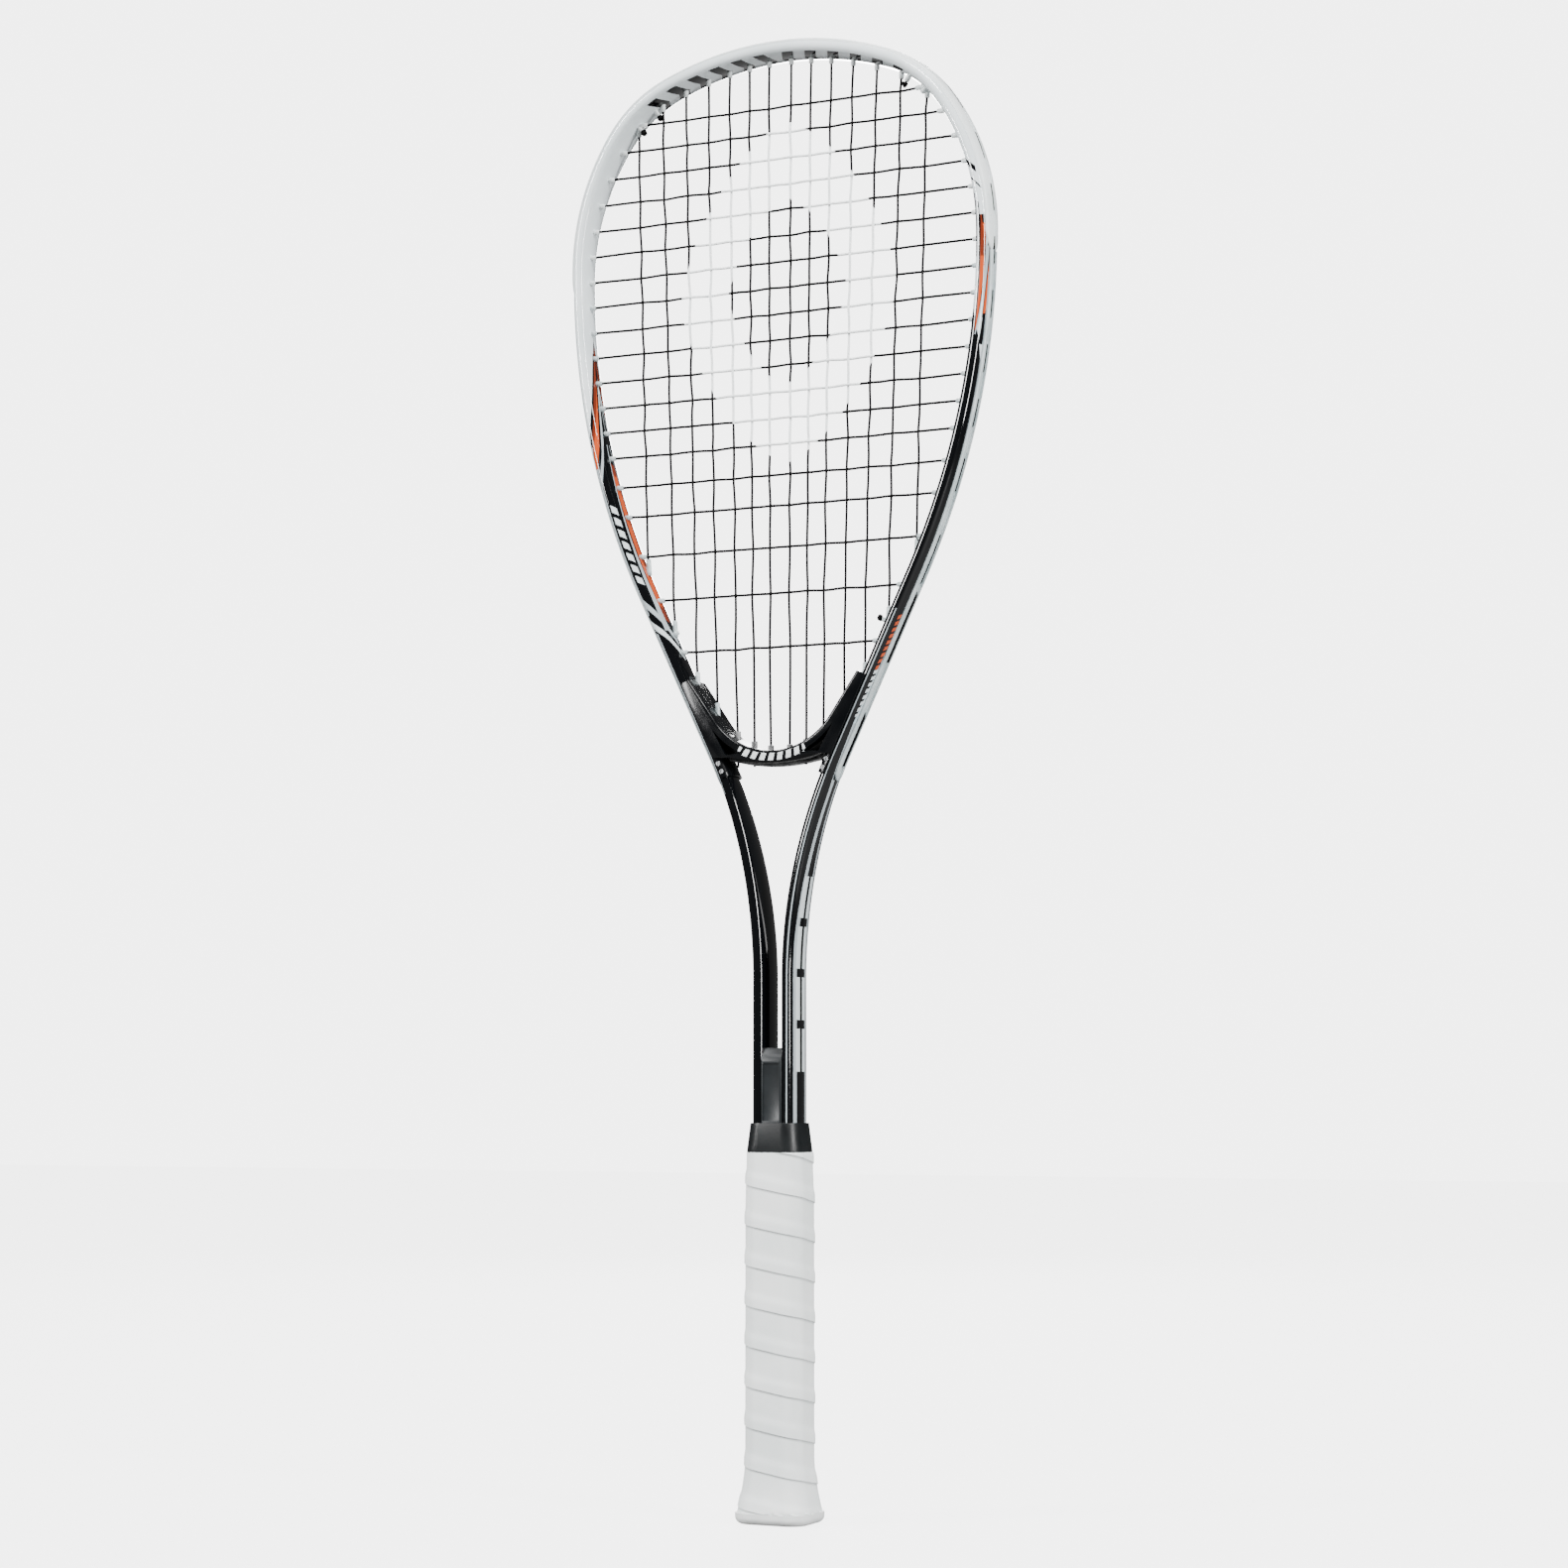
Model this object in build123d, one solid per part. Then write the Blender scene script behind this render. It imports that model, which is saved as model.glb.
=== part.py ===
"""Squash racket: strung head, riveted throat bridge, twin shafts and a wrapped handle.

The racket stands on its butt. X runs across the head, Y through its thickness and Z up
its length; the origin is the middle of the butt face. The rim of the head is a chain of
tangent arcs. Its right half is laid out from the crown down to the butt, and most pieces
on it are a flat section carried along that half and mirrored.
"""
from build123d import *
import os
from math import ceil, cos, degrees, hypot, pi, radians, sin, sqrt, tan

# ---------------------------------------------------------------- driving dimensions, mm
OVERALL_LENGTH = 685.5        # butt face to the top of the bumper
HEAD_WIDTH = 214.4            # across the outer faces of the frame tube

# Shape of the rim, crown to shaft: radius and turn of each arc.
CROWN_TURN = 22.0
SHOULDER_RADIUS = 62.0
SHOULDER_TURN = 33.5
SIDE_RADIUS = 110.0
SIDE_TURN = 34.0
FLANK_RADIUS = 358.0
FLANK_TURN = 26.0
THROAT_RADIUS = 245.0         # the bend from the flanks into the parallel shafts
SHAFT_SPACING = 14.3          # between the shafts' centre lines in the handle
SHAFT_END = 12.0              # height of the shafts' cut ends inside the butt

# Frame tube: an oval, thin outward and deep through the racket.
TUBE_THICKNESS = 7.2
TUBE_DEPTH = 19.6             # at the crown and in the handle
FLANK_DEPTH = 15.2            # down both sides of the head
SHOULDER_EASE = (60.0, 200.0) # along the rim, where the depth shrinks to the flanks'
THROAT_EASE = (400.0, 510.0)  # and where it grows again
SECTION_STEP = 12.0           # between the sections that the tube is drawn through
TUBE_WALL = 1.0
TUBE_EDGE_RADIUS = 2.7        # front and back edges of the oval
GROOVE_WIDTH = 7.4            # string groove around the outside of the head
GROOVE_DEPTH = 0.9

# Bumper and grommet strips in that groove.
STRIP_PROUD = 1.0             # above the tube's outer face
STRIP_TAIL = 7.0              # of the strips, past their last hole
BUMPER_CROSSES = 7            # the bumper ends just past this cross string
BUMPER_WIDTH = 17.0
TONGUE_WIDTH = 11.0           # of the bumper's two ends
TONGUE_LENGTH = 12.0
CHANNEL_WIDTH = 3.1           # for the string loops
CHANNEL_DEPTH = 1.15
BARREL_DIAMETER = 2.8
BORE_DIAMETER = 1.6
MOUTH_DIAMETER = 2.2          # of the widened end of each bore, where the string bends
MOUTH_DEPTH = 1.0             # of that end, below the floor of the channel
TIP_LENGTH = 2.8              # barrel showing inside the head
FIT = 0.1                     # between pieces that fit into each other

# Strings.
STRING_DIAMETER = 1.2
STRING_GAP = 0.1              # between the main layer and the cross layer
MAIN_TOPS = (74.6, 61.8, 49.5, 37.5, 26.3, 16.0, 5.7)      # from the middle line, at the crown
MAIN_FEET = (68.8, 54.7, 42.8, 32.4, 21.8, 13.2, 4.8)      # the same strings at the throat
BRIDGE_MAINS = 4              # of those, the last few end on the bridge
TOP_CROSS_DROP = 30.9         # first cross below the top of the racket
CROSS_PITCH = 12.35
CROSS_COUNT_EVEN = 14         # crosses at the even pitch
LOWER_CROSS_GAPS = (14.5, 14.5, 19.5, 21.5, 25.2)
TIE_OFF_STEP = 6.0            # along the rim from a string's last hole to its tie-off hole
KNOT_DIAMETER = 3.4
LOOP_RADIUS = 1.1             # the string's bend at the mouth of a barrel

# Throat bridge.
ARCH_DROP = 335.5             # the arch's lowest point, below the top of the racket
ARCH_RADIUS = 35.0
ARCH_TURN = 55.5              # where the arch runs into its straight arms
ARCH_THICKNESS = 5.8
UNDERSIDE_RADIUS = 90.0
UNDERSIDE_REACH = 24.2        # half width of the underside
BRIDGE_DEPTH = 18.4
SADDLE_SKIN = 1.2             # bridge wall around the tube
SADDLE_DROP = 12.0            # foot of the saddles, below the arch's lowest point
POCKET_DEPTH = 5.0            # triangular recess beside each arm, front and back
POCKET_WALL = 3.8             # between the arch and the recess
POCKET_SPAN = (22.0, 52.0)    # degrees along the arch
BRIDGE_STRIP = (5.0, 1.0)     # width and thickness of the strip under the bridge
RIVET_DIAMETER = 1.2
RIVET_HEAD = (2.2, 0.6)       # diameter and height
RIVET_SINK = 0.4              # of the head, below the saddle's front
RIVET_REACH = 1.8             # of the shank, through saddle and tube wall
RIVET_DROPS = (9.4, 5.6)      # of the rivets, below the arch's lowest point
RIVET_INSET = 1.3             # inward of the tube's centre line

# Handle.
GRIP_TOP = 166.3
GRIP_WIDTH = 29.6
GRIP_DEPTH = 26.6
GRIP_CORNER = 8.6
WRAP_THICKNESS = 2.3
BUTT_WIDTH = 37.0
BUTT_DEPTH = 32.0
FLARE_TOP = 30.0
FLANGE_HEIGHT = 5.0           # of the butt cap, below the wrap
CAP_WALL = 0.8
CAP_FLOOR = 3.0
CAP_TOP = 24.0
COLLAR_TOP = 179.6
COLLAR_OVERLAP = 3.5          # how far the pallets reach up inside the collar
COLLAR_TOP_SIZE = (24.2, 22.2, 7.0)
COLLAR_FOOT_SIZE = (27.4, 24.8, 8.0)
TAPE_THICKNESS = 0.25
INSERT_TOP = 213.6
INSERT_WIDTH = 10.8
INSERT_BEVEL = (6.0, 2.6)     # height and depth of the sloping top
PANEL_RECESS = 0.5
STAPLE_WIRE = 0.6
STAPLE_SPAN = 8.0
STAPLE_HEIGHTS = (50.0, 95.0, 140.0)

# ---------------------------------------------------------------- values that follow
HALF_TUBE = TUBE_THICKNESS / 2
HALF_DEPTH = TUBE_DEPTH / 2
CROWN_HEIGHT = OVERALL_LENGTH - STRIP_PROUD - HALF_TUBE
SIDE_START = CROWN_TURN + SHOULDER_TURN
FLANK_START = SIDE_START + SIDE_TURN
FLANK_HEADING = FLANK_START + FLANK_TURN
LANE = (STRING_DIAMETER + STRING_GAP) / 2
STRIP_BASE = HALF_TUBE - GROOVE_DEPTH + FIT
CHANNEL_FLOOR = HALF_TUBE + STRIP_PROUD - CHANNEL_DEPTH
LOOP_OFFSET = CHANNEL_FLOOR + STRING_DIAMETER / 2
TIP_OFFSET = -(HALF_TUBE + TIP_LENGTH)
PALLET_TOP = GRIP_TOP + COLLAR_OVERLAP
ARCH_FLOOR = OVERALL_LENGTH - ARCH_DROP
UNDERSIDE = ARCH_FLOOR - ARCH_THICKNESS
SADDLE_FOOT = ARCH_FLOOR - SADDLE_DROP
RIVET_HEIGHTS = [ARCH_FLOOR - drop for drop in RIVET_DROPS]


def crown_radius():
    """The crown arc that makes the head as wide as it should be."""
    side = radians(SIDE_START)
    flank = radians(FLANK_START)
    rest = SHOULDER_RADIUS * (sin(side) - sin(radians(CROWN_TURN)))
    rest += SIDE_RADIUS * (sin(flank) - sin(side))
    rest += FLANK_RADIUS * (1 - sin(flank))
    return (HEAD_WIDTH / 2 - HALF_TUBE - rest) / sin(radians(CROWN_TURN))


def step(x, z, heading, radius, length):
    """Moves along one run of the rim: heading in degrees clockwise from +X, radius 0 straight."""
    turned = radians(heading)
    if not radius:
        return x + length * cos(turned), z - length * sin(turned), heading
    turn = length / radius
    return (x + radius * (sin(turned + turn) - sin(turned)),
            z + radius * (cos(turned + turn) - cos(turned)), heading + degrees(turn))


def lay_rim():
    """The right half of the tube's centre line, as runs of (start, length, radius)."""
    arcs = [(crown_radius(), CROWN_TURN), (SHOULDER_RADIUS, SHOULDER_TURN)]
    arcs += [(SIDE_RADIUS, SIDE_TURN), (FLANK_RADIUS, FLANK_TURN)]
    runs = []
    where = (0.0, CROWN_HEIGHT, 0.0)
    for radius, turn in arcs:
        length = radius * radians(turn)
        runs.append((where, length, radius))
        where = step(*where, radius, length)
    lean = radians(where[2])
    inward = where[0] - THROAT_RADIUS * (1 - sin(lean)) - SHAFT_SPACING / 2
    flank = inward / -cos(lean)
    runs.append((where, flank, 0))
    where = step(*where, 0, flank)
    bend = THROAT_RADIUS * (lean - pi / 2)
    runs.append((where, bend, -THROAT_RADIUS))
    where = step(*where, -THROAT_RADIUS, bend)
    runs.append((where, where[1] - SHAFT_END, 0))
    return runs


RIM = lay_rim()
RIM_LENGTH = sum(length for _, length, _ in RIM)


def rim_at(along, outward=0.0):
    """Point (x, z) of the rim and its heading, a distance along it and outward from it."""
    left = along
    for where, length, radius in RIM:
        if left <= length or (where, length, radius) == RIM[-1]:
            x, z, heading = step(*where, radius, left)
            turned = radians(heading)
            return x + outward * sin(turned), z + outward * cos(turned), heading
        left -= length


def bisect(value, low, high):
    """Where a function that changes sign once between low and high is zero."""
    rising = value(high) > value(low)
    for _ in range(60):
        middle = (low + high) / 2
        if (value(middle) > 0) == rising:
            high = middle
        else:
            low = middle
    return (low + high) / 2


WIDEST = bisect(lambda along: rim_at(along)[2] - 90, 0, sum(run[1] for run in RIM[:4]))
THROAT_END = RIM_LENGTH - RIM[-1][1]


def rim_at_height(height, outward=0.0):
    return bisect(lambda along: rim_at(along, outward)[1] - height, 0, RIM_LENGTH)


def rim_plane(along):
    x, z, heading = rim_at(along)
    turned = radians(heading)
    return Plane(origin=(x, 0, z), x_dir=(sin(turned), 0, cos(turned)),
                 z_dir=(cos(turned), 0, -sin(turned)))


def along_rim(section, first, last):
    """Carries a section (x outward, y through the racket) along the right half of the rim."""
    pieces = []
    start = 0.0
    for _, length, radius in RIM:
        low = max(first, start)
        high = min(last, start + length)
        start += length
        if high - low < 0.001:
            continue
        x, z, heading = rim_at(low)
        turned = radians(heading)
        face = rim_plane(low) * section
        if radius:
            centre = (x - radius * sin(turned), 0, z - radius * cos(turned))
            axis = Axis(centre, (0, radius / abs(radius), 0))
            pieces.append(revolve(face, axis, degrees((high - low) / abs(radius))))
        else:
            pieces.append(extrude(face, high - low))
    whole = pieces[0]
    for piece in pieces[1:]:
        whole += piece
    return whole


def both_sides(part):
    return part + mirror(part, Plane.YZ)


# ---------------------------------------------------------------- sections
def ease(along, span):
    """From 0 to 1 across a span of the rim, with a smooth start and end."""
    share = min(1.0, max(0.0, (along - span[0]) / (span[1] - span[0])))
    return (1 - cos(pi * share)) / 2


def depth_at(along):
    """The tube's depth at a place on the rim."""
    slim = ease(along, SHOULDER_EASE) - ease(along, THROAT_EASE)
    return TUBE_DEPTH + (FLANK_DEPTH - TUBE_DEPTH) * slim


def oval(grow=0.0, depth=TUBE_DEPTH):
    """The tube's outline, x outward and y through the racket, grown or shrunk evenly."""
    half = HALF_TUBE + grow
    deep = depth / 2 + grow
    edge = TUBE_EDGE_RADIUS + grow
    side = ((deep - edge) ** 2 + half ** 2 - edge ** 2) / (2 * (half - edge))
    x = half - side + side * (side - half) / (side - edge)
    y = side * (deep - edge) / (side - edge)
    return make_face([
        ThreePointArc((x, -y), (half, 0), (x, y)),
        ThreePointArc((x, y), (0, deep), (-x, y)),
        ThreePointArc((-x, y), (-half, 0), (-x, -y)),
        ThreePointArc((-x, -y), (0, -deep), (x, -y)),
    ])


def band(low, high, width):
    """A rectangle between two distances outward from the tube's centre line."""
    return Pos((low + high) / 2, 0) * Rectangle(high - low, width)


def outline(grow, first, last):
    """The tube's solid outline along the right half, as deep as it is at each place."""
    count = ceil((last - first) / SECTION_STEP)
    places = [first + (last - first) * index / count for index in range(count + 1)]
    return loft([rim_plane(place) * oval(grow, depth_at(place)) for place in places])


def strip_section():
    top = HALF_TUBE + STRIP_PROUD
    body = Pos((STRIP_BASE + top) / 2, 0) * Rectangle(top - STRIP_BASE, GROOVE_WIDTH - 2 * FIT)
    body = chamfer(body.vertices().group_by(Axis.X)[-1], STRIP_PROUD * 0.6)
    return body - band(CHANNEL_FLOOR, top + 1, CHANNEL_WIDTH)


def bumper_half():
    """The right half of the bumper, without its barrels."""
    wide = along_rim(band(0, HALF_TUBE + 2, BUMPER_WIDTH), 0, BUMPER_END - TONGUE_LENGTH)
    tongue = along_rim(band(0, HALF_TUBE + 2, TONGUE_WIDTH), BUMPER_END - TONGUE_LENGTH, BUMPER_END)
    shell = outline(STRIP_PROUD, 0, BUMPER_END + 1) - outline(FIT / 2, 0, BUMPER_END + 1)
    core = band(STRIP_BASE, HALF_TUBE + STRIP_PROUD / 2, GROOVE_WIDTH - 2 * FIT)
    channel = band(CHANNEL_FLOOR - STRING_GAP, HALF_TUBE + 2, CHANNEL_WIDTH)
    half = (shell & (wide + tongue)) + along_rim(core, 0, BUMPER_END)
    return half - along_rim(channel, 0, BUMPER_END + 1)


# ---------------------------------------------------------------- where the strings run
def arch_height(x):
    """Top surface of the bridge's arch."""
    return ARCH_FLOOR + ARCH_RADIUS - sqrt(ARCH_RADIUS ** 2 - x ** 2)


def underside_height(x):
    return UNDERSIDE + UNDERSIDE_RADIUS - sqrt(UNDERSIDE_RADIUS ** 2 - x ** 2)


def main_line(index):
    """A right-hand main: its top tip and its foot tip, as (x, z)."""
    top = bisect(lambda s: rim_at(s, TIP_OFFSET)[0] - MAIN_TOPS[index], 0, WIDEST)
    x = MAIN_FEET[index]
    if index < len(MAIN_FEET) - BRIDGE_MAINS:
        foot = bisect(lambda s: rim_at(s, TIP_OFFSET)[0] - x, WIDEST, THROAT_END)
        return rim_at(top, TIP_OFFSET)[:2], rim_at(foot, TIP_OFFSET)[:2]
    return rim_at(top, TIP_OFFSET)[:2], (x, arch_height(x) + TIP_LENGTH)


def meets(line, low, high, outward):
    """Where a string's line passes the rim, a distance outward: as a distance along the rim."""
    (x1, z1), (x2, z2) = line

    def side(along):
        x, z, _ = rim_at(along, outward)
        return (x - x1) * (z2 - z1) - (z - z1) * (x2 - x1)

    return bisect(side, low, high)


def cross_heights():
    heights = [OVERALL_LENGTH - TOP_CROSS_DROP - CROSS_PITCH * n for n in range(CROSS_COUNT_EVEN)]
    for gap in LOWER_CROSS_GAPS:
        heights.append(heights[-1] - gap)
    return heights


MAINS = [main_line(index) for index in range(len(MAIN_TOPS))]
CROSSES = cross_heights()


def on_line(line, height):
    (x1, z1), (x2, z2) = line
    return x1 + (x2 - x1) * (height - z1) / (z2 - z1)


def rod(start, end, lane, diameter):
    """A round bar between two (x, z) points at one depth."""
    base = Vector(start[0], lane, start[1])
    run = Vector(end[0], lane, end[1]) - base
    return Plane(origin=base, z_dir=run) * extrude(Circle(diameter / 2), run.length)


class Hole:
    """One string hole on the right half: its tip inside the head, its mouth outside, its lane."""

    def __init__(self, tip, line, low, high, lane):
        self.tip = tip
        self.lane = lane
        self.along = meets(line, low, high, LOOP_OFFSET)
        self.mouth = rim_at(self.along, LOOP_OFFSET)[:2]

        self.length = hypot(self.mouth[0] - tip[0], self.mouth[1] - tip[1])

    def at(self, distance):
        """The point a distance from the tip toward the mouth."""
        share = distance / self.length
        return (self.tip[0] + (self.mouth[0] - self.tip[0]) * share,
                self.tip[1] + (self.mouth[1] - self.tip[1]) * share)

    def rod(self, diameter, past_tip=0.0, past_mouth=0.0):
        return rod(self.at(-past_tip), self.at(self.length + past_mouth), self.lane, diameter)

    def bore(self):
        """The string's bore, widened at the mouth so the string can bend there."""
        widened = self.length - MOUTH_DEPTH - STRING_DIAMETER / 2
        return self.rod(BORE_DIAMETER, 1, 2) + rod(
            self.at(widened), self.at(self.length + 2), self.lane, MOUTH_DIAMETER)


def rim_holes():
    """Every hole through the right half of the tube: tops, feet, crosses, tie-offs."""
    tops = [Hole(line[0], line, 0, WIDEST, LANE) for line in MAINS]
    flank_feet = MAINS[:len(MAINS) - BRIDGE_MAINS + 1]
    feet = [Hole(line[1], line, WIDEST, THROAT_END, LANE) for line in flank_feet]
    crosses = []
    for height in CROSSES:
        tip = rim_at(rim_at_height(height, TIP_OFFSET), TIP_OFFSET)[:2]
        line = ((0, height), (HEAD_WIDTH, height))
        crosses.append(Hole(tip, line, 0, THROAT_END, -LANE))
    return tops, feet, crosses


def tie_off(hole, way, lane):
    """A hole square to the rim, one step on from a string's last hole."""
    along = hole.along + way * TIE_OFF_STEP
    inner = rim_at(along, TIP_OFFSET)[:2]
    outer = rim_at(along, LOOP_OFFSET)[:2]
    return Hole(inner, (inner, outer), along - 3, along + 3, lane)


TOPS, FEET, SIDES = rim_holes()
MAIN_TIE = tie_off(TOPS[0], -1, LANE)
UPPER_TIE = tie_off(SIDES[0], -1, -LANE)
LOWER_TIE = tie_off(SIDES[-1], -1, -LANE)
RIM_HOLES = TOPS + FEET + SIDES + [MAIN_TIE, UPPER_TIE, LOWER_TIE]
BUMPER_END = (SIDES[BUMPER_CROSSES - 1].along + SIDES[BUMPER_CROSSES].along) / 2
STRIP_FOOT = FEET[-1].along + STRIP_TAIL


# ---------------------------------------------------------------- frame and what rides on it
def frame_tube():
    solid = outline(0, 0, THROAT_END)
    foot = STRIP_FOOT + 0.5
    backing = band(HALF_TUBE - GROOVE_DEPTH - TUBE_WALL, HALF_TUBE, GROOVE_WIDTH + 2 * TUBE_WALL)
    tube = solid - outline(-TUBE_WALL, 0, THROAT_END) + (along_rim(backing, 0, foot) & solid)
    tube -= along_rim(band(HALF_TUBE - GROOVE_DEPTH, HALF_TUBE + 1, GROOVE_WIDTH), 0, foot)
    tube -= [hole.rod(BARREL_DIAMETER + 2 * FIT, 2, 4) for hole in RIM_HOLES]
    tube += along_rim(oval() - oval(-TUBE_WALL), THROAT_END, RIM_LENGTH)
    tube -= rivets_right()
    return both_sides(tube)


def barrels(holes):
    """Solid grommet barrels, trimmed flush with the floor of the string channel."""
    bars = [hole.rod(BARREL_DIAMETER, 0, 4) for hole in holes]
    reach = GROOVE_WIDTH * 3
    low = min(hole.along for hole in holes) - 12
    high = max(hole.along for hole in holes) + 12
    outside = along_rim(band(CHANNEL_FLOOR, HALF_TUBE + 9, reach), max(low, 0), high)
    return [bar - outside for bar in bars]


def bumper_guard():
    holes = [hole for hole in RIM_HOLES if hole.along < BUMPER_END]
    guard = bumper_half() + barrels(holes) - [hole.bore() for hole in holes]
    return both_sides(guard)


def grommet_strip():
    """The right-hand strip, from the bumper down to the throat."""
    holes = [hole for hole in RIM_HOLES if hole.along > BUMPER_END]
    strip = along_rim(strip_section(), BUMPER_END + FIT, STRIP_FOOT)
    return strip + barrels(holes) - [hole.bore() for hole in holes]


# ---------------------------------------------------------------- throat bridge
def upright(face, depth):
    """A flat shape drawn in X and Z, made as thick as depth about the string plane."""
    return extrude(Plane.XZ * face, depth / 2, both=True)


def bridge_arms():
    """Right-hand corners of the arch: end of the arc, tip of the arm, and its place on the rim."""
    turn = radians(ARCH_TURN)
    spring = (ARCH_RADIUS * sin(turn), ARCH_FLOOR + ARCH_RADIUS * (1 - cos(turn)))
    arm = (spring, (spring[0] + cos(turn), spring[1] + sin(turn)))
    along = meets(arm, WIDEST, THROAT_END, -(HALF_TUBE + SADDLE_SKIN))
    return spring, rim_at(along, -(HALF_TUBE + SADDLE_SKIN))[:2], along


def bridge_web():
    spring, tip, along = bridge_arms()
    foot = (UNDERSIDE_REACH, underside_height(UNDERSIDE_REACH))
    side = rim_at(rim_at_height(foot[1]))[:2]
    top = rim_at(along)[:2]

    def left(point):
        return (-point[0], point[1])

    face = make_face([
        ThreePointArc(left(spring), (0, ARCH_FLOOR), spring),
        Line(spring, tip), Line(tip, top), Line(top, side), Line(side, foot),
        ThreePointArc(foot, (0, UNDERSIDE), left(foot)),
        Line(left(foot), left(side)), Line(left(side), left(top)),
        Line(left(top), left(tip)), Line(left(tip), left(spring)),
    ])
    web = upright(face, BRIDGE_DEPTH)
    rims = web.faces().sort_by(Axis.Y)
    edges = [edge for end in (rims[0], rims[-1]) for edge in end.edges()
             if edge.geom_type == GeomType.CIRCLE]
    return fillet(edges, 1.6)


def pocket():
    """The recess beside the right-hand arm."""
    ring = ARCH_RADIUS + POCKET_WALL
    centre = ARCH_FLOOR + ARCH_RADIUS

    def on_ring(angle):
        return (ring * sin(radians(angle)), centre - ring * cos(radians(angle)))

    low, high = POCKET_SPAN
    corner = (UNDERSIDE_REACH - 0.5, underside_height(UNDERSIDE_REACH) + 1.2)
    face = make_face([
        ThreePointArc(on_ring(low), on_ring((low + high) / 2), on_ring(high)),
        Line(on_ring(high), corner), Line(corner, on_ring(low)),
    ])
    both = upright(face, BRIDGE_DEPTH + 2) - upright(face, BRIDGE_DEPTH - 2 * POCKET_DEPTH)
    return both


def rivets_right():
    """Short rivets through the right-hand saddle into the tube's wall, front and back."""
    size, height = RIVET_HEAD
    pieces = []
    for place in RIVET_HEIGHTS:
        along = rim_at_height(place)
        x, z, _ = rim_at(along, -RIVET_INSET)
        seat = depth_at(along) / 2 + SADDLE_SKIN - RIVET_SINK
        for way in (-1, 1):
            plane = Plane(origin=(x, way * seat, z), z_dir=(0, way, 0))
            shank = Pos(0, 0, -RIVET_REACH) * extrude(Circle(RIVET_DIAMETER / 2), RIVET_REACH)
            pieces.append(plane * (shank + extrude(Circle(size / 2), height)))
    return pieces


def bridge_feet():
    """Where the last right-hand mains leave the bridge: line and mouth, from the side inward."""
    feet = []
    for line in MAINS[len(MAINS) - BRIDGE_MAINS + 1:]:
        x = line[1][0]
        height = underside_height(x) - BRIDGE_STRIP[1] - STRING_DIAMETER / 2
        feet.append((line, (on_line(line, height), height)))
    return feet


def throat_bridge():
    _, _, along = bridge_arms()
    foot = rim_at_height(SADDLE_FOOT)
    inner = along_rim(band(-HALF_TUBE - SADDLE_SKIN - 1, 0, TUBE_DEPTH + 8), along - 1, foot + 1)
    saddle = outline(SADDLE_SKIN, along, foot) & inner
    bored = [rod(mouth, line[1], LANE, BARREL_DIAMETER + 2 * FIT) for line, mouth in bridge_feet()]
    bridge = bridge_web() - (bored + [mirror(bore, Plane.YZ) for bore in bored])
    bridge += both_sides(saddle - bored)
    bridge -= both_sides(pocket())
    bridge -= both_sides(outline(FIT / 2, along - 4, foot + 4))
    bridge -= both_sides(FEET[-1].rod(BARREL_DIAMETER + 2 * FIT, 2, 2))
    return bridge - bridge_rivets()


def bridge_grommets():
    """The little strip under the bridge, with a barrel for each main that ends there."""
    width, thickness = BRIDGE_STRIP
    reach = bridge_feet()[0][1][0] + 3
    low = UNDERSIDE - thickness
    end = (reach, underside_height(reach))
    below = (reach, underside_height(reach) - thickness)
    face = make_face([
        ThreePointArc((-end[0], end[1]), (0, UNDERSIDE), end), Line(end, below),
        ThreePointArc(below, (0, low), (-below[0], below[1])),
        Line((-below[0], below[1]), (-end[0], end[1])),
    ])
    strip = upright(face, width)
    tubes = []
    holes = []
    for line, mouth in bridge_feet():
        seat = mouth[1] + STRING_DIAMETER / 2 + 0.3
        tubes.append(rod((on_line(line, seat), seat), line[1], LANE, BARREL_DIAMETER))
        holes.append(rod(mouth, (on_line(line, line[1][1] + 2), line[1][1] + 2), LANE, BORE_DIAMETER))
    tubes += [mirror(tube, Plane.YZ) for tube in tubes]
    holes += [mirror(hole, Plane.YZ) for hole in holes]
    return strip + tubes - holes


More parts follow.
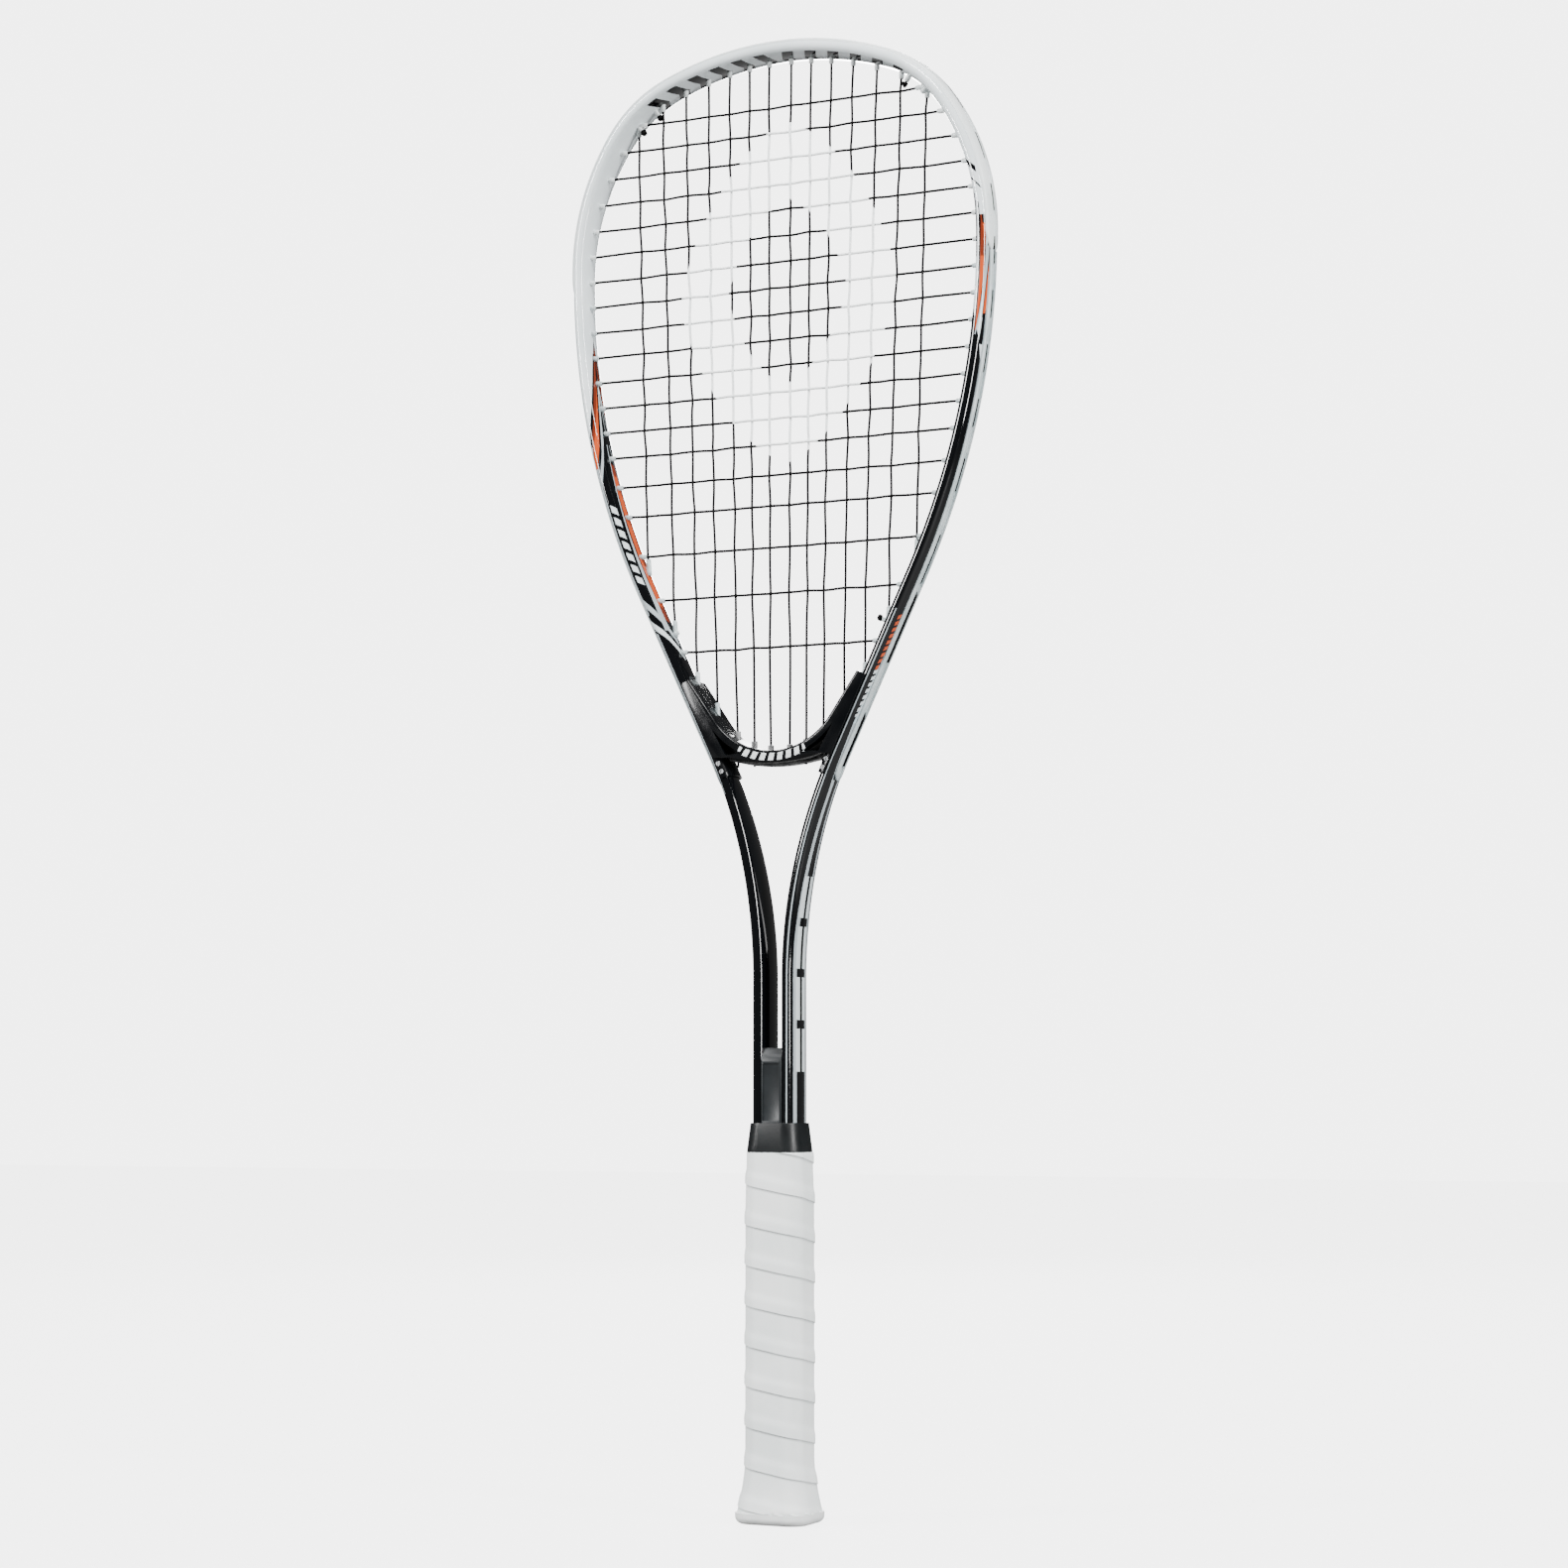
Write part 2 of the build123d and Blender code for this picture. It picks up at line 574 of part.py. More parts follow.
# ---------------------------------------------------------------- strings
class Route:
    """A string's route in X and Z at one depth, as corners with a bend radius at each."""

    def __init__(self, lane):
        self.lane = lane
        self.points = []

    def go(self, point, side=1):
        self.points.append(Vector(point[0] * side, self.lane, point[1]))

    def loop(self, first, second, side):
        """Out of one rim hole, along the channel, and into another on the same side."""
        self.turn(first, second, side, leaving=True)
        low, high = first.along, second.along
        bend = abs(rim_at(high)[2] - rim_at(low)[2])
        count = int(ceil(bend / 5.0)) if bend > 1.0 else 1
        for index in range(1, count):
            self.go(rim_at(low + (high - low) * index / count, LOOP_OFFSET + 0.05), side)
        self.turn(second, first, side, leaving=False)

    def turn(self, hole, other, side, leaving):
        """One corner, or two where the string doubles back on itself."""
        x, z, heading = rim_at(hole.along, LOOP_OFFSET)
        lean = radians(heading)
        outward = (x + 1.5 * STRING_DIAMETER * sin(lean), z + 1.5 * STRING_DIAMETER * cos(lean))
        way = 1 if other.along > hole.along else -1
        barrel = Vector(hole.mouth[0] - hole.tip[0], hole.mouth[1] - hole.tip[1])
        onward = Vector(way * cos(lean), -way * sin(lean))
        doubled = barrel.get_angle(onward) > 100
        corners = [hole.mouth, outward] if doubled else [hole.mouth]
        for corner in corners if leaving else reversed(corners):
            self.go(corner, side)

    def solid(self):
        points = self.points
        radii = []
        for before, here, after in zip(points, points[1:], points[2:]):
            turned = radians((here - before).get_angle(after - here))
            room = 0.45 * min((here - before).length, (after - here).length)
            largest = room / tan(turned / 2)
            radii.append(min(LOOP_RADIUS, largest) if turned > radians(20) else min(60, largest))
        path = FilletPolyline(*points, radius=radii)
        start = Plane(origin=points[0], z_dir=points[1] - points[0])
        return sweep(start * Circle(STRING_DIAMETER / 2), path=path)


def knot(point, side, lane, away):
    """A tight knot seated on the tip of a tie-off barrel."""
    inward = KNOT_DIAMETER * 0.3
    centre = ((point[0] - away[0] * inward) * side, lane, point[1] - away[1] * inward)
    return Plane(origin=centre, z_dir=(away[0] * side, 0, away[1])) * Sphere(KNOT_DIAMETER / 2)


def outward_at(hole):
    size = hypot(hole.mouth[0] - hole.tip[0], hole.mouth[1] - hole.tip[1])
    return ((hole.mouth[0] - hole.tip[0]) / size, (hole.mouth[1] - hole.tip[1]) / size)


def main_string():
    """Down the first main, up the next, to the last, tied off beside the outermost tops."""
    route = Route(LANE)
    bridge = bridge_feet()
    count = 2 * len(MAINS)
    route.go(MAIN_TIE.tip, -1)
    route.loop(MAIN_TIE, TOPS[0], -1)
    for number in range(count):
        side = -1 if number < len(MAINS) else 1
        index = number if side < 0 else count - 1 - number
        down = number % 2 == 0
        after = number + 1
        after_index = after if after < len(MAINS) else count - 1 - after
        if down and index < len(FEET) and after_index < len(FEET):
            route.loop(FEET[index], FEET[after_index], side)
        elif down:
            route.go(bridge[index - len(FEET)][1], side)
            route.go(bridge[after_index - len(FEET)][1], -1 if after < len(MAINS) else 1)
        elif after < count:
            route.loop(TOPS[index], TOPS[after_index], side)
    route.loop(TOPS[0], MAIN_TIE, 1)
    route.go(MAIN_TIE.tip, 1)
    away = outward_at(MAIN_TIE)
    return route.solid() + [knot(MAIN_TIE.tip, side, LANE, away) for side in (-1, 1)]


def cross_string():
    """From the tie-off beside the top cross, to and fro down the head."""
    route = Route(-LANE)
    route.go(UPPER_TIE.tip, 1)
    route.loop(UPPER_TIE, SIDES[0], 1)
    for number in range(len(SIDES) - 1):
        side = -1 if number % 2 == 0 else 1
        route.loop(SIDES[number], SIDES[number + 1], side)
    route.loop(SIDES[-1], LOWER_TIE, -1)
    route.go(LOWER_TIE.tip, -1)
    knots = [knot(UPPER_TIE.tip, 1, -LANE, outward_at(UPPER_TIE))]
    knots.append(knot(LOWER_TIE.tip, -1, -LANE, outward_at(LOWER_TIE)))
    return route.solid() + knots


# ---------------------------------------------------------------- handle
def block(width, depth, corner, low, high):
    """An upright rounded bar between two heights."""
    return Pos(0, 0, low) * extrude(RectangleRounded(width, depth, corner), high - low)


def flare(sizes):
    """A smooth body through rounded sections: (width, depth, corner, height)."""
    return loft([Pos(0, 0, height) * RectangleRounded(width, depth, corner)
                 for width, depth, corner, height in sizes])


def shafts(grow, low, high):
    """Both shafts in the handle, grown by a clearance."""
    shaft = Pos(SHAFT_SPACING / 2, 0, low) * extrude(oval(grow), high - low)
    return both_sides(shaft)


PALLET = (GRIP_WIDTH - 2 * WRAP_THICKNESS, GRIP_DEPTH - 2 * WRAP_THICKNESS, GRIP_CORNER - WRAP_THICKNESS)
CAP = (PALLET[0] + 2 * CAP_WALL, PALLET[1] + 2 * CAP_WALL, PALLET[2] + CAP_WALL)
SEAT = (BUTT_WIDTH - 2 * WRAP_THICKNESS, BUTT_DEPTH - 2 * WRAP_THICKNESS, GRIP_CORNER)


def handle_flare(shrink):
    """The flare at the butt, from the flange up to the straight grip."""
    middle = (FLANGE_HEIGHT + FLARE_TOP) / 2
    width = (BUTT_WIDTH + GRIP_WIDTH) / 2 - 1.1
    depth = (BUTT_DEPTH + GRIP_DEPTH) / 2 - 0.9
    return flare([
        (BUTT_WIDTH - shrink, BUTT_DEPTH - shrink, 10.0, FLANGE_HEIGHT),
        (width - shrink, depth - shrink, 9.4, middle),
        (GRIP_WIDTH - shrink, GRIP_DEPTH - shrink, GRIP_CORNER, FLARE_TOP),
    ])


def cap_sleeve():
    """Upper part of the butt cap, a sleeve that the wrap covers."""
    return flare([(*SEAT, FLANGE_HEIGHT), (CAP[0] + 1.2, CAP[1] + 1.2, CAP[2] + 0.6, 15.0), (*CAP, CAP_TOP)])


def butt_cap():
    flange = block(BUTT_WIDTH, BUTT_DEPTH, 10.0, 0, FLANGE_HEIGHT)
    flange = fillet(flange.edges().group_by(Axis.Z)[0], 3.2)
    cap = flange + cap_sleeve()
    cap -= block(PALLET[0] + FIT, PALLET[1] + FIT, PALLET[2], CAP_FLOOR, CAP_TOP + 1)
    return cap - cap_staples() - grip_staple()


def pallets():
    core = block(*PALLET, CAP_FLOOR + FIT, PALLET_TOP)
    core -= shafts(FIT / 2, SHAFT_END - FIT, PALLET_TOP + 1)
    core -= pallet_staples()
    core -= cap_staples()
    return core


def pallet_front():
    return pallets() & Pos(0, -50 - FIT / 4, 0) * Box(200, 100, 2000)


def pallet_back():
    return pallets() & Pos(0, 50 + FIT / 4, 0) * Box(200, 100, 2000)


def staple(leg):
    """A flat staple lying on the XY plane's top, its legs pointing down."""
    crown = Pos(0, 0, -STAPLE_WIRE / 2) * Box(STAPLE_SPAN, STAPLE_WIRE * 2, STAPLE_WIRE)
    legs = [Pos(x, 0, -(leg + STAPLE_WIRE) / 2) * Box(STAPLE_WIRE, STAPLE_WIRE * 2, leg + STAPLE_WIRE)
            for x in (STAPLE_WIRE / 2 - STAPLE_SPAN / 2, STAPLE_SPAN / 2 - STAPLE_WIRE / 2)]
    return crown + legs


def pallet_staples():
    """Staples across the split, sunk flush in both sides of the pallets."""
    leg = PALLET[0] / 2 - SHAFT_SPACING / 2 - HALF_TUBE - 0.6
    pieces = []
    for height in STAPLE_HEIGHTS:
        right = Plane(origin=(PALLET[0] / 2, 0, height), x_dir=(0, 1, 0), z_dir=(1, 0, 0)) * staple(leg)
        pieces += [right, mirror(right, Plane.YZ)]
    return pieces


def cap_staples():
    """Front and back staples that hold the butt cap on the pallets."""
    height = (CAP_TOP + FLANGE_HEIGHT) / 2 + 4
    front = Plane(origin=(0, -CAP[1] / 2, height), x_dir=(1, 0, 0), z_dir=(0, -1, 0)) * staple(4.0)
    return [front, mirror(front, Plane.XZ)]


def grip_wrap():
    outer = handle_flare(0) + block(GRIP_WIDTH, GRIP_DEPTH, GRIP_CORNER, FLARE_TOP, GRIP_TOP)
    wrap = outer - cap_sleeve() - block(*PALLET, 0, GRIP_TOP + 1)
    return wrap - grip_staple()


def grip_staple():
    """The staple that starts the wrap, driven into the butt cap from behind."""
    return Plane(origin=(0, SEAT[1] / 2 + 0.4, 9.0), x_dir=(-1, 0, 0), z_dir=(0, 1, 0)) * staple(1.6)


def finishing_tape():
    size = [PALLET[0] + 2 * TAPE_THICKNESS, PALLET[1] + 2 * TAPE_THICKNESS, PALLET[2] + TAPE_THICKNESS]
    return block(*size, GRIP_TOP, PALLET_TOP) - block(*PALLET, GRIP_TOP - 1, PALLET_TOP + 1)


def shaft_insert():
    body = block(INSERT_WIDTH, TUBE_DEPTH, 1.4, PALLET_TOP + FIT, INSERT_TOP)
    height, depth = INSERT_BEVEL
    for side in (-1, 1):
        wedge = make_face(Polyline(
            (side * HALF_DEPTH, INSERT_TOP - height), (side * (HALF_DEPTH + 2), INSERT_TOP - height),
            (side * (HALF_DEPTH + 2), INSERT_TOP + 2), (side * (HALF_DEPTH - depth), INSERT_TOP + 2),
            (side * (HALF_DEPTH - depth), INSERT_TOP), close=True))
        body -= extrude(Plane.YZ * wedge, INSERT_WIDTH, both=True)
        panel_height = INSERT_TOP - height - COLLAR_TOP - 2
        panel = Box(INSERT_WIDTH - 2.4, 2 * PANEL_RECESS, panel_height)
        body -= Pos(0, side * HALF_DEPTH, COLLAR_TOP + 1 + panel_height / 2) * panel
    return body - shafts(FIT / 2, PALLET_TOP - 1, INSERT_TOP + 1)


def collar():
    body = flare([(*COLLAR_FOOT_SIZE, GRIP_TOP + FIT), (*COLLAR_TOP_SIZE, COLLAR_TOP)])
    body -= shafts(FIT / 2, GRIP_TOP - 1, COLLAR_TOP + 1)
    body -= block(INSERT_WIDTH + FIT, TUBE_DEPTH + FIT, 1.4, GRIP_TOP - 1, COLLAR_TOP + 1)
    tape = TAPE_THICKNESS + FIT / 2
    seat = (PALLET[0] + 2 * tape, PALLET[1] + 2 * tape, PALLET[2] + tape)
    return body - block(*seat, GRIP_TOP - 1, PALLET_TOP + FIT)


def bridge_rivets():
    right = rivets_right()
    return right + [mirror(rivet, Plane.YZ) for rivet in right]


NODES = {
    "frame_tube": frame_tube,
    "bumper_guard": bumper_guard,
    "grommet_strip_right": grommet_strip,
    "grommet_strip_left": lambda: mirror(grommet_strip(), Plane.YZ),
    "throat_bridge": throat_bridge,
    "bridge_grommets": bridge_grommets,
    "bridge_rivets": bridge_rivets,
    "main_string": main_string,
    "cross_string": cross_string,
    "shaft_insert": shaft_insert,
    "collar": collar,
    "pallet_front": pallet_front,
    "pallet_back": pallet_back,
    "pallet_staples": pallet_staples,
    "butt_cap": butt_cap,
    "butt_cap_staples": cap_staples,
    "grip_wrap": grip_wrap,
    "grip_staple": grip_staple,
    "finishing_tape": finishing_tape,
}


def main():
    os.makedirs("parts", exist_ok=True)
    for name, make in NODES.items():
        made = make()
        solids = made if isinstance(made, list) else [made]
        export_step(Compound([solid for part in solids for solid in part.solids()], label=name),
                    "parts/" + name + ".step")


if __name__ == "__main__":
    main()
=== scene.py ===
"""Squash racket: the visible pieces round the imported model, and the stage they stand on."""
from math import asin, atan2, ceil, cos, degrees, pi, radians, sin, sqrt
from random import Random

import bmesh
import bpy
from mathutils import Euler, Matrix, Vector


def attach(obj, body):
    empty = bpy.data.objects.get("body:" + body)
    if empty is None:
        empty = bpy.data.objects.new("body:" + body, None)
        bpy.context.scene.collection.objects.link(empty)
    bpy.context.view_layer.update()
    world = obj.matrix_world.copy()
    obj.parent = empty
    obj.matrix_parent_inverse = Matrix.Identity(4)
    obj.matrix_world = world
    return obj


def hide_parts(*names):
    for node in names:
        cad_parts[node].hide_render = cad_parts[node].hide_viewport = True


bl_info = {
    "name": "Squash Racket",
    "version": (1, 0, 0),
    "blender": (4, 5, 0),
    "location": "View3D > Sidebar > Racket",
    "description": "Builds a strung squash racket and its stage round the packed model",
    "category": "Object",
}

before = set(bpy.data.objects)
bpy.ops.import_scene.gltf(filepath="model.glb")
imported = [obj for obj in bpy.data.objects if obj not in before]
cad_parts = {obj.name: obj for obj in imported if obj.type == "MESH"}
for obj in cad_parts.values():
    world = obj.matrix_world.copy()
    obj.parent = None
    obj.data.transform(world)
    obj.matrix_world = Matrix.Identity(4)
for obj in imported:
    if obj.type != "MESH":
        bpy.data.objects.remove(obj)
MM = 0.001

# ------------------------------------------------- the rim, in mm, as the model has it
OVERALL_LENGTH = 685.5
HEAD_WIDTH = 214.4
CROWN_TURN = 22.0
SHOULDER = (62.0, 33.5)           # radius and turn
SIDE = (110.0, 34.0)
FLANK = (358.0, 26.0)
THROAT_RADIUS = 245.0
SHAFT_SPACING = 14.3
SHAFT_END = 12.0
HALF_TUBE = 3.6
TUBE_DEPTH = 19.6
FLANK_DEPTH = 15.2
SHOULDER_EASE = (60.0, 200.0)
THROAT_EASE = (400.0, 510.0)
EDGE_RADIUS = 2.7
GROOVE_HALF = 3.7
GROOVE_DEPTH = 0.9
PROUD = 1.0
CHANNEL_HALF = 1.55
CHANNEL_FLOOR = HALF_TUBE + PROUD - 1.15
LOOP_OFFSET = CHANNEL_FLOOR + 0.6
TIP_OFFSET = -(HALF_TUBE + 2.8)
LANE = 0.65
BARREL_RADIUS = 1.4
TIE_STEP = 6.0
AROUND = 22.834                   # paint is laid out as if half the tube's girth were this

# Strings, from the middle line, as the model has them.
MAIN_TOPS = (74.6, 61.8, 49.5, 37.5, 26.3, 16.0, 5.7)
MAIN_FEET = (68.8, 54.7, 42.8, 32.4, 21.8, 13.2, 4.8)
BRIDGE_MAINS = 4
TOP_CROSS = OVERALL_LENGTH - 30.9
CROSS_PITCH = 12.35
EVEN_CROSSES = 14
LOWER_GAPS = (14.5, 14.5, 19.5, 21.5, 25.2)
ARCH_FLOOR = 350.0
ARCH_RADIUS = 35.0


def crown_radius():
    side = radians(CROWN_TURN + SHOULDER[1])
    flank = side + radians(SIDE[1])
    rest = SHOULDER[0] * (sin(side) - sin(radians(CROWN_TURN)))
    rest += SIDE[0] * (sin(flank) - sin(side)) + FLANK[0] * (1 - sin(flank))
    return (HEAD_WIDTH / 2 - HALF_TUBE - rest) / sin(radians(CROWN_TURN))


def step(x, z, heading, radius, length):
    """Moves along one run: heading in degrees clockwise from +X, radius 0 straight."""
    turned = radians(heading)
    if not radius:
        return x + length * cos(turned), z - length * sin(turned), heading
    turn = length / radius
    return (x + radius * (sin(turned + turn) - sin(turned)),
            z + radius * (cos(turned + turn) - cos(turned)), heading + degrees(turn))


def lay_rim():
    """The right half of the tube's middle line, crown to butt."""
    runs = []
    where = (0.0, OVERALL_LENGTH - PROUD - HALF_TUBE, 0.0)
    for radius, turn in ((crown_radius(), CROWN_TURN), SHOULDER, SIDE, FLANK):
        length = radius * radians(turn)
        runs.append((where, length, radius))
        where = step(*where, radius, length)
    lean = radians(where[2])
    straight = (where[0] - THROAT_RADIUS * (1 - sin(lean)) - SHAFT_SPACING / 2) / -cos(lean)
    runs.append((where, straight, 0))
    where = step(*where, 0, straight)
    bend = THROAT_RADIUS * (lean - pi / 2)
    runs.append((where, bend, -THROAT_RADIUS))
    where = step(*where, -THROAT_RADIUS, bend)
    runs.append((where, where[1] - SHAFT_END, 0))
    return runs


RIM = lay_rim()
RIM_LENGTH = sum(run[1] for run in RIM)
THROAT_END = RIM_LENGTH - RIM[-1][1]


def rim_at(along, outward=0.0):
    left = along
    for where, length, radius in RIM:
        if left <= length or where == RIM[-1][0]:
            x, z, heading = step(*where, radius, left)
            turned = radians(heading)
            return x + outward * sin(turned), z + outward * cos(turned), heading
        left -= length


def bisect(value, low, high):
    """Where a function that changes sign once between low and high is zero."""
    rising = value(high) > value(low)
    for _ in range(50):
        middle = (low + high) / 2
        if (value(middle) > 0) == rising:
            high = middle
        else:
            low = middle
    return (low + high) / 2


WIDEST = bisect(lambda along: rim_at(along)[2] - 90, 0, sum(run[1] for run in RIM[:4]))


def meets(start, end, low, high, outward):
    """Where the line from start to end passes the rim, a distance outward."""
    def side(along):
        x, z, _ = rim_at(along, outward)
        return (x - start[0]) * (end[1] - start[1]) - (z - start[1]) * (end[0] - start[0])
    return bisect(side, low, high)


def on_rim(place, outward, deep):
    """A point in metres: place is along the rim, left of the crown if negative."""
    x, z, _ = rim_at(abs(place), outward)
    return Vector((x if place >= 0 else -x, deep, z)) * MM


def ease(value, low, high):
    share = min(1.0, max(0.0, (value - low) / (high - low)))
    return (1 - cos(pi * share)) / 2


def depth_at(along):
    slim = ease(along, *SHOULDER_EASE) - ease(along, *THROAT_EASE)
    return TUBE_DEPTH + (FLANK_DEPTH - TUBE_DEPTH) * slim


# ---------------------------------------------------------------- the string holes
class Hole:
    """One grommet on the right half: its tip inside the head, its mouth outside, its lane."""

    def __init__(self, tip, start, end, low, high, lane):
        self.tip = tip
        self.lane = lane
        self.along = meets(start, end, low, high, LOOP_OFFSET)
        self.mouth = rim_at(self.along, LOOP_OFFSET)[:2]


def arch_height(x):
    return ARCH_FLOOR + ARCH_RADIUS - sqrt(ARCH_RADIUS ** 2 - x ** 2)


def string_plan():
    """Tops, feet and crosses of the right half, and the mains as pairs of tips."""
    mains, tops, feet, crosses = [], [], [], []
    for index, (x, foot_x) in enumerate(zip(MAIN_TOPS, MAIN_FEET)):
        place = bisect(lambda s: rim_at(s, TIP_OFFSET)[0] - x, 0, WIDEST)
        top = rim_at(place, TIP_OFFSET)[:2]
        if index < len(MAIN_FEET) - BRIDGE_MAINS:
            place = bisect(lambda s: rim_at(s, TIP_OFFSET)[0] - foot_x, WIDEST, THROAT_END)
            foot = rim_at(place, TIP_OFFSET)[:2]
        else:
            foot = (foot_x, arch_height(foot_x) + 2.8)
        mains.append((top, foot))
        tops.append(Hole(top, top, foot, 0, WIDEST, LANE))
        if index <= len(MAIN_FEET) - BRIDGE_MAINS:
            feet.append(Hole(foot, top, foot, WIDEST, THROAT_END, LANE))
    height = TOP_CROSS
    for gap in (0,) + (CROSS_PITCH,) * (EVEN_CROSSES - 1) + LOWER_GAPS:
        height -= gap
        place = bisect(lambda s: rim_at(s, TIP_OFFSET)[1] - height, 0, RIM_LENGTH)
        tip = rim_at(place, TIP_OFFSET)[:2]
        crosses.append(Hole(tip, (0, height), (HEAD_WIDTH, height), 0, THROAT_END, -LANE))
    return mains, tops, feet, crosses


def tie_off(hole, lane):
    """A hole square to the rim, one step above a string's last hole."""
    along = hole.along - TIE_STEP
    tip, mouth = rim_at(along, TIP_OFFSET)[:2], rim_at(along, LOOP_OFFSET)[:2]
    return Hole(tip, tip, mouth, along - 3, along + 3, lane)


MAINS, TOPS, FEET, CROSSES = string_plan()
TIES = [tie_off(TOPS[0], LANE), tie_off(CROSSES[0], -LANE), tie_off(CROSSES[-1], -LANE)]
HOLES = TOPS + FEET + CROSSES + TIES
BUMPER_END = (CROSSES[6].along + CROSSES[7].along) / 2
STRIP_FOOT = FEET[-1].along + 7.0


# ---------------------------------------------------------------- the tube's section
def arcs(depth):
    """Radius of the flat sides, their half angle, and a quarter of the girth."""
    deep = depth / 2
    side = ((deep - EDGE_RADIUS) ** 2 + HALF_TUBE ** 2 - EDGE_RADIUS ** 2) / (
        2 * (HALF_TUBE - EDGE_RADIUS))
    turn = atan2(deep - EDGE_RADIUS, side - HALF_TUBE)
    return side, turn, side * turn + EDGE_RADIUS * (pi / 2 - turn)


def oval_at(girth, depth, grow=0.0):
    """Point (outward, deep) a length round the outer side from the front edge's middle."""
    side, turn, quarter = arcs(depth)
    back = girth > quarter
    length = 2 * quarter - girth if back else girth
    edge = EDGE_RADIUS * (pi / 2 - turn)
    if length < edge:
        angle = length / EDGE_RADIUS
        reach = EDGE_RADIUS + grow
        x, y = reach * sin(angle), -(depth / 2 - EDGE_RADIUS) - reach * cos(angle)
    else:
        angle = turn - (length - edge) / side
        x = HALF_TUBE - side + (side + grow) * cos(angle)
        y = -(side + grow) * sin(angle)
    return x, -y if back else y


def girth_to(deep, depth):
    """Length round from the front edge's middle to where the outer face is that deep."""
    side, turn, _ = arcs(depth)
    return EDGE_RADIUS * (pi / 2 - turn) + side * (turn - asin(deep / side))


# ---------------------------------------------------------------- mesh helpers
def put(name, mesh, material, replaced=()):
    """Adds a mesh as a piece riding on the racket."""
    piece = bpy.data.objects.new(name, mesh)
    bpy.context.scene.collection.objects.link(piece)
    mesh.materials.clear()
    mesh.materials.append(material)
    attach(piece, "root")
    if replaced:
        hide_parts(*replaced)
    return piece


def grid_mesh(name, rows, uv_rows, caps=False, sharp=35):
    """Quads between rows of points in metres; uv_rows holds u and two values of v for each.

    The second v is for the face that a point ends, which differs at the seam."""
    mesh = bpy.data.meshes.new(name)
    shape = bmesh.new()
    layer = shape.loops.layers.uv.new("Lay")
    verts = [[shape.verts.new(point) for point in row] for row in rows]
    count = len(rows[0])
    for i in range(len(rows) - 1):
        after = i + 1
        for j in range(count):
            k = (j + 1) % count
            face = shape.faces.new((verts[i][j], verts[after][j], verts[after][k], verts[i][k]))
            for loop, (r, c, last) in zip(face.loops, (
                    (i, j, False), (after, j, False), (after, k, True), (i, k, True))):
                u, starts, ends = uv_rows[r][c]
                loop[layer].uv = (u, ends if last else starts)
    if caps:
        for row in (verts[0], verts[-1]):
            shape.faces.new(row)
    bmesh.ops.remove_doubles(shape, verts=shape.verts, dist=1e-7)
    bmesh.ops.recalc_face_normals(shape, faces=shape.faces)
    shape.to_mesh(mesh)
    shape.free()
    mesh.shade_smooth()
    mesh.set_sharp_from_angle(angle=radians(sharp))
    return mesh


MERGE = 2e-6                      # metres within which a CAD mesh's points are one


def copy_of(node, name, bevel=0.0, segments=2, sharp=30):
    """A merged copy of a CAD node's mesh, its sharp edges rounded."""
    shape = bmesh.new()
    shape.from_mesh(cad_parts[node].data)
    bmesh.ops.remove_doubles(shape, verts=shape.verts, dist=MERGE)
    bmesh.ops.dissolve_limit(shape, angle_limit=radians(1.5), verts=shape.verts,
                             edges=shape.edges)
    mesh = bpy.data.meshes.new(name)
    shape.to_mesh(mesh)
    shape.free()
    if bevel:
        holder = bpy.data.objects.new(name, mesh)
        bpy.context.scene.collection.objects.link(holder)
        rounding = holder.modifiers.new("Round", "BEVEL")
        rounding.width = bevel * MM
        rounding.segments = segments
        rounding.limit_method = "ANGLE"
        rounding.angle_limit = radians(sharp)
        rounding.harden_normals = False
        mesh = plain_mesh(holder)
        bpy.data.objects.remove(holder)
    mesh.shade_smooth()
    mesh.set_sharp_from_angle(angle=radians(sharp))
    return mesh


def plain_mesh(holder):
    """The evaluated object as a mesh of its own."""
    bpy.context.view_layer.update()
    seen = holder.evaluated_get(bpy.context.evaluated_depsgraph_get())
    return bpy.data.meshes.new_from_object(seen)


# ---------------------------------------------------------------- node helpers
def linear(code):
    """sRGB hex to the linear colour that nodes take."""
    parts = [int(code[i:i + 2], 16) / 255 for i in (1, 3, 5)]
    return tuple(c / 12.92 if c <= 0.04045 else ((c + 0.055) / 1.055) ** 2.4 for c in parts) + (1,)


def add(tree, kind, inputs=None, **settings):
    """Adds a node with its settings; inputs holds values, or sockets to link from."""
    node = tree.nodes.new(kind)
    for key, value in settings.items():
        setattr(node, key, value)
    for key, value in (inputs or {}).items():
        if isinstance(value, bpy.types.NodeSocket):
            tree.links.new(value, node.inputs[key])
        else:
            node.inputs[key].default_value = value
    return node


def sums(tree, operation, *values):
    """The result socket of one Math node."""
    return add(tree, "ShaderNodeMath", dict(enumerate(values)), operation=operation).outputs[0]


def finish_named(name, **base):
    """A new material, its tree, its main shader and its Object coordinates."""
    material = bpy.data.materials.new(name)
    material.use_nodes = True
    tree = material.node_tree
    shader = tree.nodes["Principled BSDF"]
    for key, value in base.items():
        shader.inputs[key.replace("_", " ")].default_value = value
    place = add(tree, "ShaderNodeTexCoord").outputs["Object"]
    return material, tree, shader, place


def noise(tree, place, size, detail=3.0, rough=0.5):
    """Noise whose largest lumps are about size mm across, from 0 to 1."""
    return add(tree, "ShaderNodeTexNoise", {
        "Vector": place, "Scale": 1 / (size * MM), "Detail": detail, "Roughness": rough,
    }).outputs["Fac"]


def spread(tree, value, low, high, low_to, high_to):
    return add(tree, "ShaderNodeMapRange", {
        "Value": value, "From Min": low, "From Max": high, "To Min": low_to, "To Max": high_to,
    }).outputs[0]


